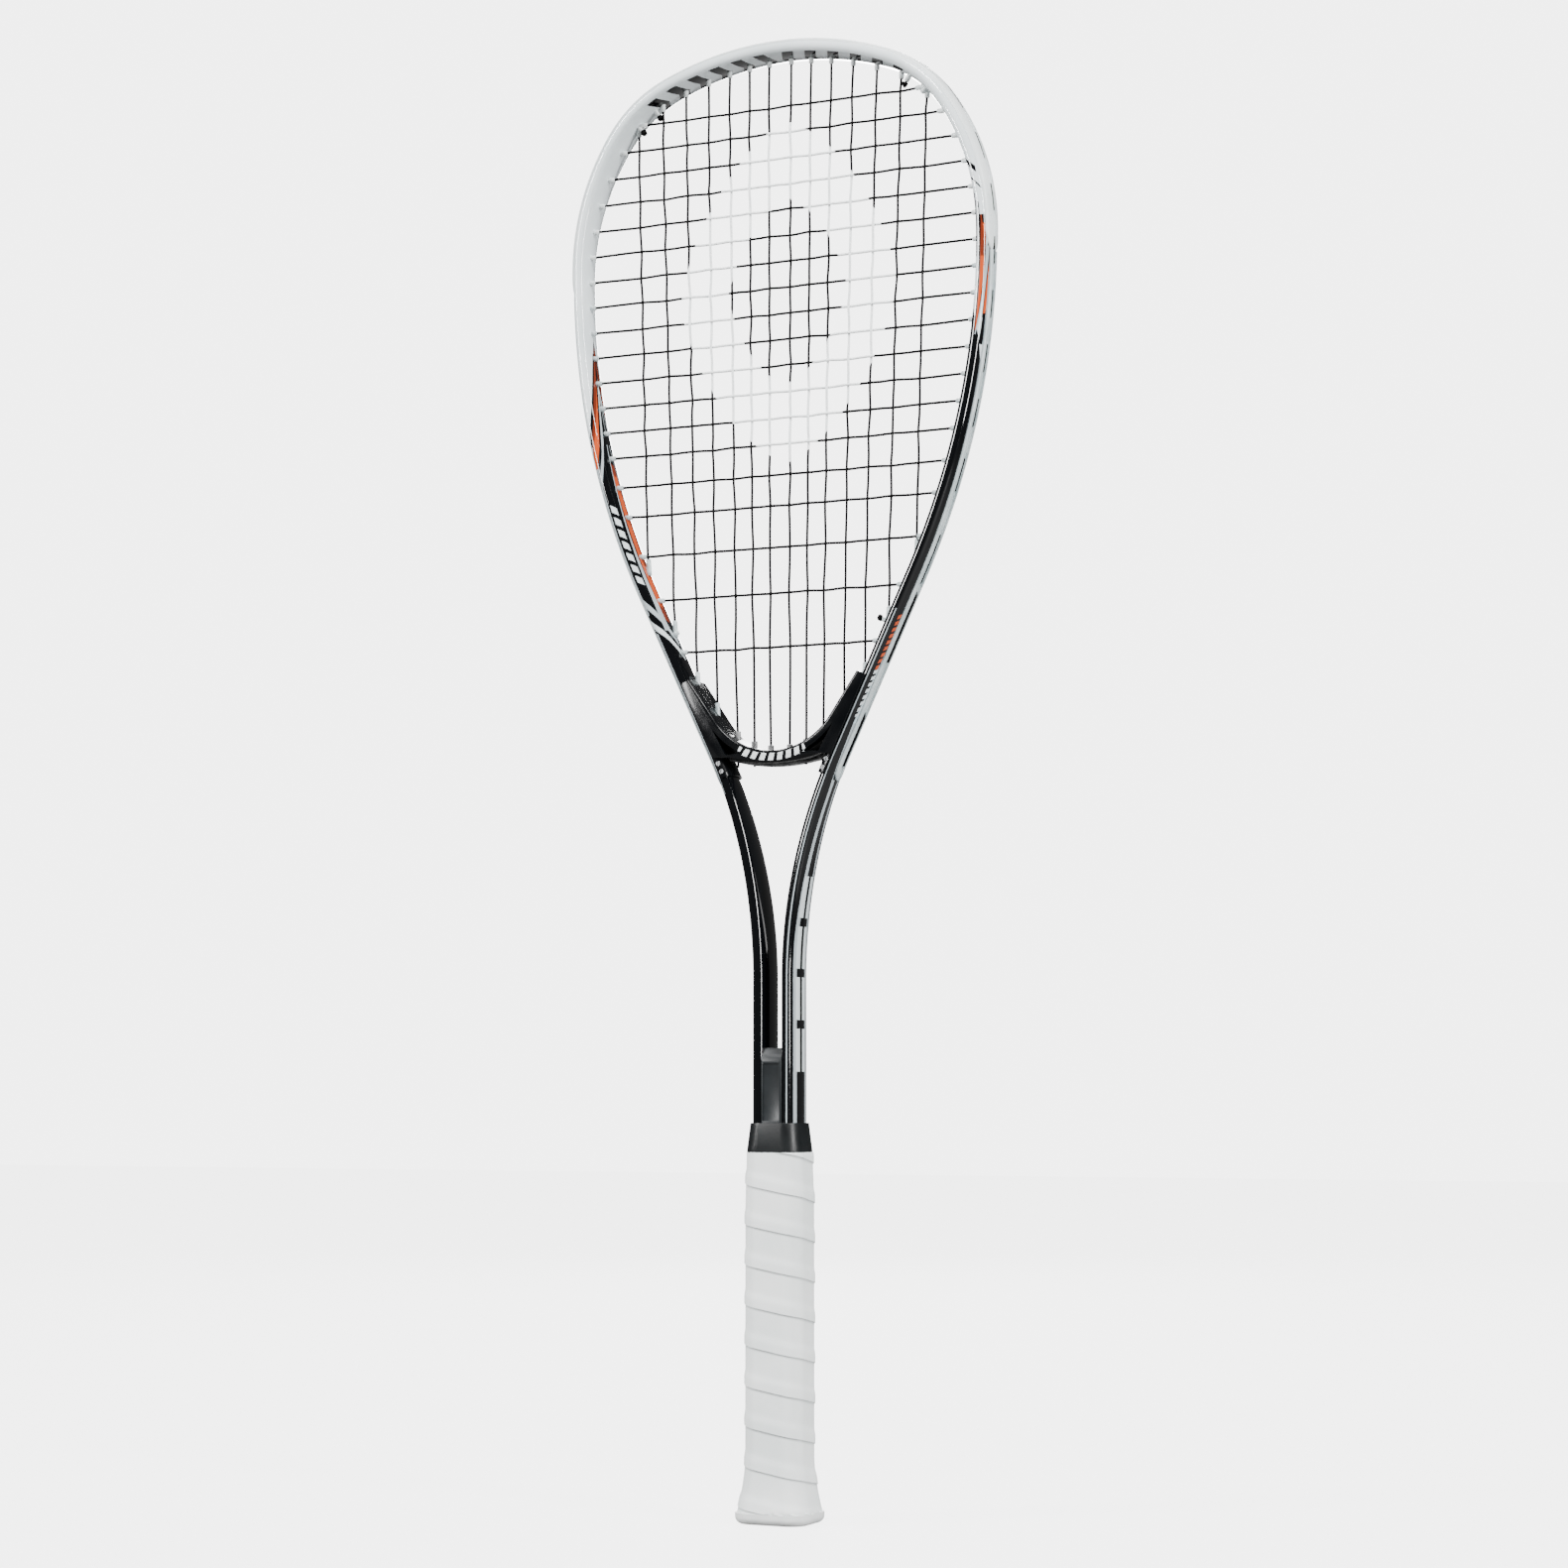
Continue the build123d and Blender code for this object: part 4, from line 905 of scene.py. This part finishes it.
class RACKET_OT_bumper(bpy.types.Operator):
    """Draw the bumper over the crown and its barrels"""
    bl_idname = "racket.bumper"
    bl_label = "Bumper guard"

    def execute(self, context):
        material = nylon("Moulded Nylon White", "#D9E0E0", 0.1)
        end = BUMPER_END

        def proud(along):
            return 0.95 * sqrt(max(0.02, 1 - max(0.0, 1 - (end - along) / 5) ** 2))

        places = signed_places(-end, end, 2.5)
        places = sorted(places + [way * (end - gap) for way in (-1, 1) for gap in (0.4, 1, 1.7)])
        shell = strip_mesh("Bumper_Shell", places, half_width_at, proud)
        holes = [hole for hole in HOLES if hole.along < end]
        tips = barrels("Bumper_Barrels", holes, (-1, 1), material)
        mesh = joined("Bumper_Guard", shell, tips)
        put("Bumper_Guard", mesh, material, ["bumper_guard"])
        return {"FINISHED"}


class RACKET_OT_strips(bpy.types.Operator):
    """Draw the grommet strips down both flanks and their barrels"""
    bl_idname = "racket.strips"
    bl_label = "Grommet strips"

    def execute(self, context):
        material = nylon("Moulded Nylon Clear", "#AEBBBD", 0.3, 0.26)
        holes = [hole for hole in HOLES if hole.along > BUMPER_END]
        half = sizes().strip_half / MM
        for side, way in (("Left", -1), ("Right", 1)):
            places = signed_places(BUMPER_END + 0.1, STRIP_FOOT, 2.5)
            places = sorted(places + [STRIP_FOOT - gap for gap in (0.3, 0.8, 1.6)])
            places = [way * place for place in places]

            def width(along):
                left = STRIP_FOOT - along
                return half * sqrt(max(0.12, 1 - max(0.0, 1 - left / 3.5) ** 2))

            body = strip_mesh("Strip", places, width, lambda along: 0.95)
            tips = barrels("Strip_Barrels", holes, (way,), material)
            mesh = joined("Grommet_Strip_" + side, body, tips)
            put("Grommet_Strip_" + side, mesh, material,
                ["grommet_strip_" + side.lower()])
        return {"FINISHED"}


# ---------------------------------------------------------------- strings
def loop_points(start, end, way, lane):
    """From one mouth to the next along the channel outside the tube."""
    first, last = sorted((start, end))
    places = signed_places(first, last, 2.0)
    if start > end:
        places.reverse()
    return [on_rim(way * place, LOOP_OFFSET, lane) for place in places]


def string_run(start, end, lane_start, lane_end, crossings, random, amplitude, wander):
    """Points from tip to tip; crossings are (share, over or under) along the run."""
    points = []
    previous = None
    stray = random.uniform(-1, 1) * wander * 0.5
    marks = sorted(crossings)
    for share, level in marks:
        if previous is not None:
            middle = (previous + share) / 2
            base = Vector(start).lerp(Vector(end), middle)
            points.append(Vector((base[0], 0, base[1])))
        base = Vector(start).lerp(Vector(end), share)
        sway = random.uniform(-1, 1) * wander + stray
        run = (Vector(end) - Vector(start)).normalized()
        points.append(Vector((base[0] - run[1] * sway, level * amplitude, base[1] + run[0] * sway)))
        previous = share
    first = Vector((start[0], lane_start, start[1]))
    last = Vector((end[0], lane_end, end[1]))
    return [first] + points + [last]


def crossing(a, b, c, d):
    """Shares along a-b and c-d where they cross, or None."""
    bx, bz, dx, dz = b[0] - a[0], b[1] - a[1], d[0] - c[0], d[1] - c[1]
    cut = bx * dz - bz * dx
    share = ((c[0] - a[0]) * dz - (c[1] - a[1]) * dx) / cut
    other = ((c[0] - a[0]) * bz - (c[1] - a[1]) * bx) / cut
    return (share, other) if 0 < share < 1 and 0 < other < 1 else None


def mirrored(point):
    return (-point[0], point[1])


def string_tree():
    """Geometry Nodes: a round string along every edge path of a plan mesh."""
    tree = bpy.data.node_groups.new("Round String", "GeometryNodeTree")
    face = tree.interface
    face.new_socket("Path", in_out="INPUT", socket_type="NodeSocketGeometry")
    face.new_socket("Radius", in_out="INPUT", socket_type="NodeSocketFloat")
    face.new_socket("Finish", in_out="INPUT", socket_type="NodeSocketMaterial")
    face.new_socket("String", in_out="OUTPUT", socket_type="NodeSocketGeometry")
    given = tree.nodes.new("NodeGroupInput").outputs
    out = tree.nodes.new("NodeGroupOutput")
    curve = add(tree, "GeometryNodeMeshToCurve", {"Mesh": given["Path"]}).outputs[0]
    circle = add(tree, "GeometryNodeCurvePrimitiveCircle", {
        "Resolution": 8, "Radius": given["Radius"]}).outputs[0]
    tube = add(tree, "GeometryNodeCurveToMesh", {
        "Curve": curve, "Profile Curve": circle, "Fill Caps": True}).outputs[0]
    smooth = add(tree, "GeometryNodeSetShadeSmooth", {"Geometry": tube}).outputs[0]
    real = add(tree, "GeometryNodeRealizeInstances", {"Geometry": smooth}).outputs[0]
    done = add(tree, "GeometryNodeSetMaterial", {
        "Geometry": real, "Material": given["Finish"]}).outputs[0]
    tree.links.new(done, out.inputs[0])
    return tree


def paths_mesh(name, paths):
    mesh = bpy.data.meshes.new(name)
    points, edges = [], []
    for path in paths:
        base = len(points)
        points += [tuple(point) for point in path]
        edges += [(base + i, base + i + 1) for i in range(len(path) - 1)]
    mesh.from_pydata(points, edges, [])
    return mesh


def rounded(path, passes=2):
    """Cuts a path's corners: each pass puts two points where one was."""
    for _ in range(passes):
        smooth = [path[0]]
        for a, b in zip(path, path[1:]):
            smooth += [a.lerp(b, 0.25), a.lerp(b, 0.75)]
        path = smooth + [path[-1]]
    return path


def knot_path(hole, way, turns=2.1, radius=0.95):
    """A small coiled hitch round the string, just inside its grommet's tip."""
    tip = Vector((way * hole.tip[0], hole.lane, hole.tip[1]))
    mouth = Vector((way * hole.mouth[0], hole.lane, hole.mouth[1]))
    inward = (tip - mouth).normalized()
    side = Vector((0, 1, 0))
    up = inward.cross(side)
    path = [mouth.lerp(tip, 0.4), tip + inward * 0.2]
    steps = 26
    for i in range(steps + 1):
        angle = 2 * pi * turns * i / steps
        rise = 0.5 + 1.5 * i / steps
        path.append(tip + inward * rise + (side * cos(angle) + up * sin(angle)) * radius)
    path.append(tip + inward * 2.4 + side * 0.2)
    return path


class RACKET_OT_strings(bpy.types.Operator):
    """Weave the mains and crosses, with their loops outside the tube and their knots"""
    bl_idname = "racket.strings"
    bl_label = "Strings"

    def execute(self, context):
        random = Random(11)
        weave, wander = sizes().weave / MM, sizes().wander / MM
        material = string_coating()
        mains = [(mirrored(a), mirrored(b)) for a, b in MAINS]
        mains += [(a, b) for a, b in reversed(MAINS)]
        crosses = [(mirrored(hole.tip), hole.tip) for hole in CROSSES]
        meet_main = [[] for _ in mains]
        meet_cross = [[] for _ in crosses]
        for m, main in enumerate(mains):
            for c, cross in enumerate(crosses):
                found = crossing(*main, *cross)
                if found:
                    over = 1 if (m + c) % 2 else -1
                    meet_main[m].append((found[0], over))
                    meet_cross[c].append((found[1], -over))
        main_paths, cross_paths = [], []
        for m, main in enumerate(mains):
            run = string_run(*main, LANE, LANE, meet_main[m], random, weave, wander)
            way = -1 if m < len(MAINS) else 1
            index = m if way < 0 else len(mains) - 1 - m
            top = TOPS[index]
            run.insert(0, Vector((way * top.mouth[0], LANE, top.mouth[1])))
            if index < len(FEET):
                foot = FEET[index]
                end = (way * foot.mouth[0], LANE, foot.mouth[1])
            else:
                end = (run[-1][0] * 0.99, LANE, UNDER_BRIDGE)
            run.append(Vector(end))
            main_paths.append([p * MM for p in rounded(run)])
        for c, cross in enumerate(crosses):
            run = string_run(*cross, -LANE, -LANE, meet_cross[c], random, weave, wander)
            mouth = CROSSES[c].mouth
            run.insert(0, Vector((-mouth[0], -LANE, mouth[1])))
            run.append(Vector((mouth[0], -LANE, mouth[1])))
            cross_paths.append([p * MM for p in rounded(run)])
        # Loops outside: pairs of neighbouring holes, one pair on, the next off.
        for way in (-1, 1):
            for a, b in pairs(TOPS, 1 if way > 0 else 0):
                main_paths.append(loop_points(a.along, b.along, way, LANE))
            for a, b in pairs(FEET, 0):
                main_paths.append(loop_points(a.along, b.along, way, LANE))
            for a, b in pairs(CROSSES, 0 if way > 0 else 1):
                cross_paths.append(loop_points(a.along, b.along, way, -LANE))
            main_paths.append(loop_points(TOPS[0].along, TIES[0].along, way, LANE))
            main_paths.append([p * MM for p in rounded(knot_path(TIES[0], way))])
        main_paths.append([on_rim(place, LOOP_OFFSET, LANE) for place in signed_places(
            -TOPS[-1].along, TOPS[-1].along, 2.0)])
        for tie, hole, way in ((TIES[1], CROSSES[0], -1), (TIES[2], CROSSES[-1], 1)):
            cross_paths.append(loop_points(hole.along, tie.along, way, -LANE))
            cross_paths.append([p * MM for p in rounded(knot_path(tie, way))])
        tree = string_tree()
        values = {"Radius": sizes().string / 2, "Finish": material}
        for name, paths, node in (("Main_String", main_paths, "main_string"),
                                  ("Cross_String", cross_paths, "cross_string")):
            mesh = with_nodes(name, paths_mesh(name, paths), tree, values)
            put(name, mesh, material, [node])
        return {"FINISHED"}


UNDER_BRIDGE = 343.6              # height of the mains' loops under the bridge


def pairs(holes, first):
    """Neighbouring holes, two by two."""
    return [(holes[i], holes[i + 1]) for i in range(first, len(holes) - 1, 2)]


# ---------------------------------------------------------------- throat and handle hardware
class RACKET_OT_throat(bpy.types.Operator):
    """Finish the bridge, its rivets and grommets, the insert and the collar"""
    bl_idname = "racket.throat"
    bl_label = "Throat and collar"

    def execute(self, context):
        bridge = copy_of("throat_bridge", "Throat_Bridge", bevel=0.35)
        put("Throat_Bridge", bridge, bridge_paint("#060709", "#E4E9EA"),
            ["throat_bridge"])
        insert = copy_of("shaft_insert", "Shaft_Insert", bevel=0.3)
        put("Shaft_Insert", insert, moulded("Moulded ABS Grey", "#15181A", "#1E2224", 0.4),
            ["shaft_insert"])
        collar = copy_of("collar", "Collar", bevel=0.45, segments=3)
        put("Collar", collar, moulded("Moulded Rubber Black", "#0A0C0E", "#111415", 0.4, 0.6),
            ["collar"])
        clear = nylon("Moulded Nylon Grommet", "#2A2C2E", 0.05)
        bright = steel()
        finishes = {
            "bridge_grommets": clear, "bridge_rivets": bright, "grip_staple": bright,
            "pallet_staples": bright, "butt_cap_staples": bright,
            "pallet_front": foam(), "butt_cap": moulded("Moulded Polypropylene", "#E0E3E2",
                                                        "#EDEFEE", 0.42),
        }
        finishes["pallet_back"] = finishes["pallet_front"]
        finishes["finishing_tape"] = moulded("Vinyl Tape Black", "#101112", "#1A1C1D", 0.3, 1.2)
        for name, finish in finishes.items():
            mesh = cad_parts[name].data
            mesh.materials.clear()
            mesh.materials.append(finish)
        return {"FINISHED"}


# ---------------------------------------------------------------- grip
BUTT = (37.0, 32.0, 11.0)         # width, depth and corner radius
GRIP = (29.6, 26.6, 8.6)
GRIP_TOP = 166.3
FLARE_TOP = 30.0
FLANGE = 5.0
WRAP_THICKNESS = 2.3
TOP_LAP = 161.5                   # height of the edge of the wrap's uppermost full lap


def rounded_rect(width, depth, corner, share):
    """Point on a rounded rectangle a share of the way round, from +X turning to +Y."""
    straight_x, straight_y = width - 2 * corner, depth - 2 * corner
    arc = pi / 2 * corner
    runs = []
    for sign_x, sign_y, start in ((1, 1, 0), (-1, 1, 90), (-1, -1, 180), (1, -1, 270)):
        straight = straight_y if start % 180 == 0 else straight_x
        runs.append((straight, sign_x, sign_y, start))
    total = 2 * (straight_x + straight_y) + 4 * arc
    left = (share % 1.0) * total
    # Start in the middle of the +X side.
    left += straight_y / 2
    if left > total:
        left -= total
    corners = ((width / 2, -(straight_y / 2)), (straight_x / 2, depth / 2),
               (-width / 2, straight_y / 2), (-straight_x / 2, -depth / 2))
    for index, (straight, sign_x, sign_y, start) in enumerate(runs):
        base = corners[index]
        turned = radians(start)
        ahead = (-sin(turned), cos(turned))
        if left <= straight:
            return base[0] + ahead[0] * left, base[1] + ahead[1] * left, turned
        left -= straight
        if left <= arc:
            angle = left / corner
            hub = (base[0] + ahead[0] * straight - cos(turned) * corner,
                   base[1] + ahead[1] * straight - sin(turned) * corner)
            total_turn = turned + angle
            return (hub[0] + corner * cos(total_turn), hub[1] + corner * sin(total_turn),
                    total_turn)
        left -= arc
    return width / 2, 0, 0


def handle_size(height):
    """Width, depth and corner of the handle at a height, wrap included."""
    flare = max(0.0, 1 - (height - FLANGE) / (FLARE_TOP - FLANGE)) ** 1.7
    flare = min(flare, 1.0)
    narrow = 1 - 0.035 * ease(height, 140, 166)
    return tuple((slim + (wide - slim) * flare) * narrow for slim, wide in zip(GRIP, BUTT))


def handle_point(share, height, inset):
    """A point in metres on the handle, a share of the way round, sunk by inset."""
    x, y, turned = rounded_rect(*handle_size(height), share)
    return Vector((x - cos(turned) * inset, y - sin(turned) * inset, height)) * MM


class RACKET_OT_grip(bpy.types.Operator):
    """Wind the cushioned wrap round the handle and cover the butt"""
    bl_idname = "racket.grip"
    bl_label = "Grip wrap"

    def execute(self, context):
        pitch = sizes().wrap_pitch / MM
        ridge = sizes().wrap_step / MM
        columns, rows_per_turn = 120, 15
        top_edge = TOP_LAP + pitch * 2
        rows, seam_shades = [], []
        low, high = FLANGE, GRIP_TOP
        # Steps are kept crisp by a denser set of rows just above each edge.
        shares = sorted(set(
            [i / rows_per_turn for i in range(rows_per_turn)] + [0.004, 0.012, 0.03, 0.985]))
        turns = ceil((high - low) / pitch) + 2
        levels = [t + share for t in range(-1, turns + 2) for share in shares]
        for level in levels:
            row, marks = [], []
            for c in range(columns):
                share = c / columns
                start = top_edge % pitch - (share - 0.07) * pitch
                height = start + level * pitch
                clipped = min(max(height, low), high)
                part = level % 1.0
                rise = ridge * wrap_profile(part)
                if clipped != height:
                    rise = 0.0
                row.append(handle_point(share, clipped, ridge + 0.05 - rise))
                # The step at each lap's edge is marked for the painted shade along it.
                marks.append(1.0 if part < 0.006 or part > 0.97 else 0.0)
            rows.append(row)
            seam_shades.append(marks)
        inner = [[handle_point(c / columns, height, WRAP_THICKNESS) for c in range(columns)]
                 for height in (low, 8, 12, 17, 23, FLARE_TOP, 60, 100, 140, high)]
        mesh = wrap_mesh("Grip_Wrap", rows, seam_shades, len(shares), inner)
        piece = put("Grip_Wrap", mesh, wrap_leather(), ["grip_wrap"])
        return {"FINISHED"}


def wrap_profile(share):
    """How far the wrap stands out, above each lower edge: up sharply, held, then easing."""
    if share < 0.012:
        return share / 0.012
    if share < 0.2:
        return 1.0
    return 1 - ease(share, 0.2, 0.4)


def wrap_mesh(name, rows, seam_shades, turn, inner):
    """Quads between the rows; the last column meets the first a turn, so many rows, down.

    The inner rows line the sleeve, from its foot to its top."""
    mesh = bpy.data.meshes.new(name)
    shape = bmesh.new()
    # This layer marks where painted shade lies along each lap's edge.
    mark = shape.verts.layers.float.new("Seam")
    verts = []
    for row, marks in zip(rows, seam_shades):
        line = []
        for point, value in zip(row, marks):
            vert = shape.verts.new(point)
            vert[mark] = value
            line.append(vert)
        verts.append(line)
    count = len(rows[0])
    for i in range(len(rows) - 1):
        for j in range(count):
            k, down = (j + 1, 0) if j + 1 < count else (0, turn)
            if i >= down:
                shape.faces.new((verts[i][j], verts[i - down][k], verts[i - down + 1][k],
                                 verts[i + 1][j]))
    lining = [verts[0]] + [[shape.verts.new(point) for point in row] for row in inner]
    lining.append(verts[-1])
    for below, above in zip(lining, lining[1:]):
        for j in range(count):
            k = (j + 1) % count
            shape.faces.new((below[j], above[j], above[k], below[k]))
    bmesh.ops.remove_doubles(shape, verts=shape.verts, dist=1e-6)
    bmesh.ops.recalc_face_normals(shape, faces=shape.faces)
    shape.to_mesh(mesh)
    shape.free()
    mesh.shade_smooth()
    mesh.set_sharp_from_angle(angle=radians(50))
    return mesh


# ---------------------------------------------------------------- stage
CAMERA_PLACE = Vector((0.6440, -1.3811, 0.1927))
CAMERA_TURN = (90 + 5.337, 0.0, 25.0)


def glow(tree, thrown, seen):
    """The stage is white to look at, but throws only a little light, as a far wall does."""
    direct = add(tree, "ShaderNodeLightPath").outputs["Is Camera Ray"]
    return spread(tree, direct, 0, 1, thrown, seen)


class RACKET_OT_stage(bpy.types.Operator):
    """Set the pale floor, the soft lights and the camera"""
    bl_idname = "racket.stage"
    bl_label = "Stage"

    def execute(self, context):
        floor_mesh = bpy.data.meshes.new("Floor")
        shape = bmesh.new()
        reach = 6.0
        corners = [(-reach, -reach), (reach, -reach), (reach, reach), (-reach, reach)]
        shape.faces.new([shape.verts.new((x, y, -0.0005)) for x, y in corners])
        shape.to_mesh(floor_mesh)
        shape.free()
        floor_piece = bpy.data.objects.new("Floor", floor_mesh)
        context.scene.collection.objects.link(floor_piece)
        paper, tree, shader, place = finish_named("Matt Paper", Roughness=0.9)
        tree.links.new(mix(tree, spread(tree, noise(tree, place, 90), 0.3, 0.7, 0, 1),
                           linear("#6C6C6C"), linear("#707070")), shader.inputs["Base Color"])
        shader.inputs["Emission Color"].default_value = linear("#FFFFFF")
        tree.links.new(glow(tree, 0.02, 4.6), shader.inputs["Emission Strength"])
        floor_mesh.materials.append(paper)

        world = bpy.data.worlds.new("Studio")
        context.scene.world = world
        world.use_nodes = True
        back = world.node_tree.nodes["Background"]
        back.inputs["Color"].default_value = linear("#FFFFFF")
        world.node_tree.links.new(glow(world.node_tree, 0.1, 5.0), back.inputs["Strength"])

        for name, place, aim, size, power in (
                ("Key", (-1.5, -1.5, 1.3), (0, 0, 0.35), (0.35, 1.2), 95),
                ("High", (0.5, -1.5, 2.7), (0, 0, 0.35), (1.2, 0.5), 90),
                ("Fill", (1.9, -0.6, 0.9), (0, 0, 0.35), (0.25, 1.4), 75),
                ("Top", (0.2, 0.5, 2.0), (0, 0, 0.5), (1.0, 0.6), 15),
                ("Back", (-0.8, 1.9, 1.2), (0, 0, 0.35), (0.6, 1.2), 60)):
            light = bpy.data.lights.new(name, "AREA")
            light.shape = "RECTANGLE"
            light.size, light.size_y = size
            light.energy = power
            lamp = bpy.data.objects.new(name, light)
            lamp.location = place
            lamp.rotation_euler = (Vector(aim) - Vector(place)).to_track_quat("-Z", "Y").to_euler()
            context.scene.collection.objects.link(lamp)

        lens = bpy.data.cameras.new("Camera")
        lens.lens = 76.19
        lens.sensor_width = 36
        lens.shift_x = 0.0027
        lens.clip_end = 30
        camera = bpy.data.objects.new("Camera", lens)
        camera.location = CAMERA_PLACE
        camera.rotation_euler = Euler([radians(angle) for angle in CAMERA_TURN])
        context.scene.collection.objects.link(camera)
        context.scene.camera = camera
        return {"FINISHED"}


class RACKET_PT_panel(bpy.types.Panel):
    """Lists the racket's pieces and sizes"""
    bl_idname = "RACKET_PT_panel"
    bl_label = "Squash Racket"
    bl_space_type = "VIEW_3D"
    bl_region_type = "UI"
    bl_category = "Racket"

    def draw(self, context):
        for operator in OPERATORS:
            self.layout.operator(operator.bl_idname)
        for group in (context.scene.racket_sizes, context.scene.racket_colours):
            for name in type(group).__annotations__:
                self.layout.prop(group, name)


OPERATORS = (RACKET_OT_frame_tube, RACKET_OT_bumper, RACKET_OT_strips, RACKET_OT_strings,
             RACKET_OT_throat, RACKET_OT_grip, RACKET_OT_stage)
CLASSES = (RacketSizes, RacketColours) + OPERATORS + (RACKET_PT_panel,)


def register():
    for each in CLASSES:
        bpy.utils.register_class(each)
    bpy.types.Scene.racket_sizes = bpy.props.PointerProperty(type=RacketSizes)
    bpy.types.Scene.racket_colours = bpy.props.PointerProperty(type=RacketColours)


def unregister():
    del bpy.types.Scene.racket_sizes
    del bpy.types.Scene.racket_colours
    for each in reversed(CLASSES):
        bpy.utils.unregister_class(each)


def main():
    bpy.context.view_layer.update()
    register()
    for operator in OPERATORS:
        group, name = operator.bl_idname.split(".")
        getattr(getattr(bpy.ops, group), name)()
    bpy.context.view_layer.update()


if __name__ == "__main__":
    main()
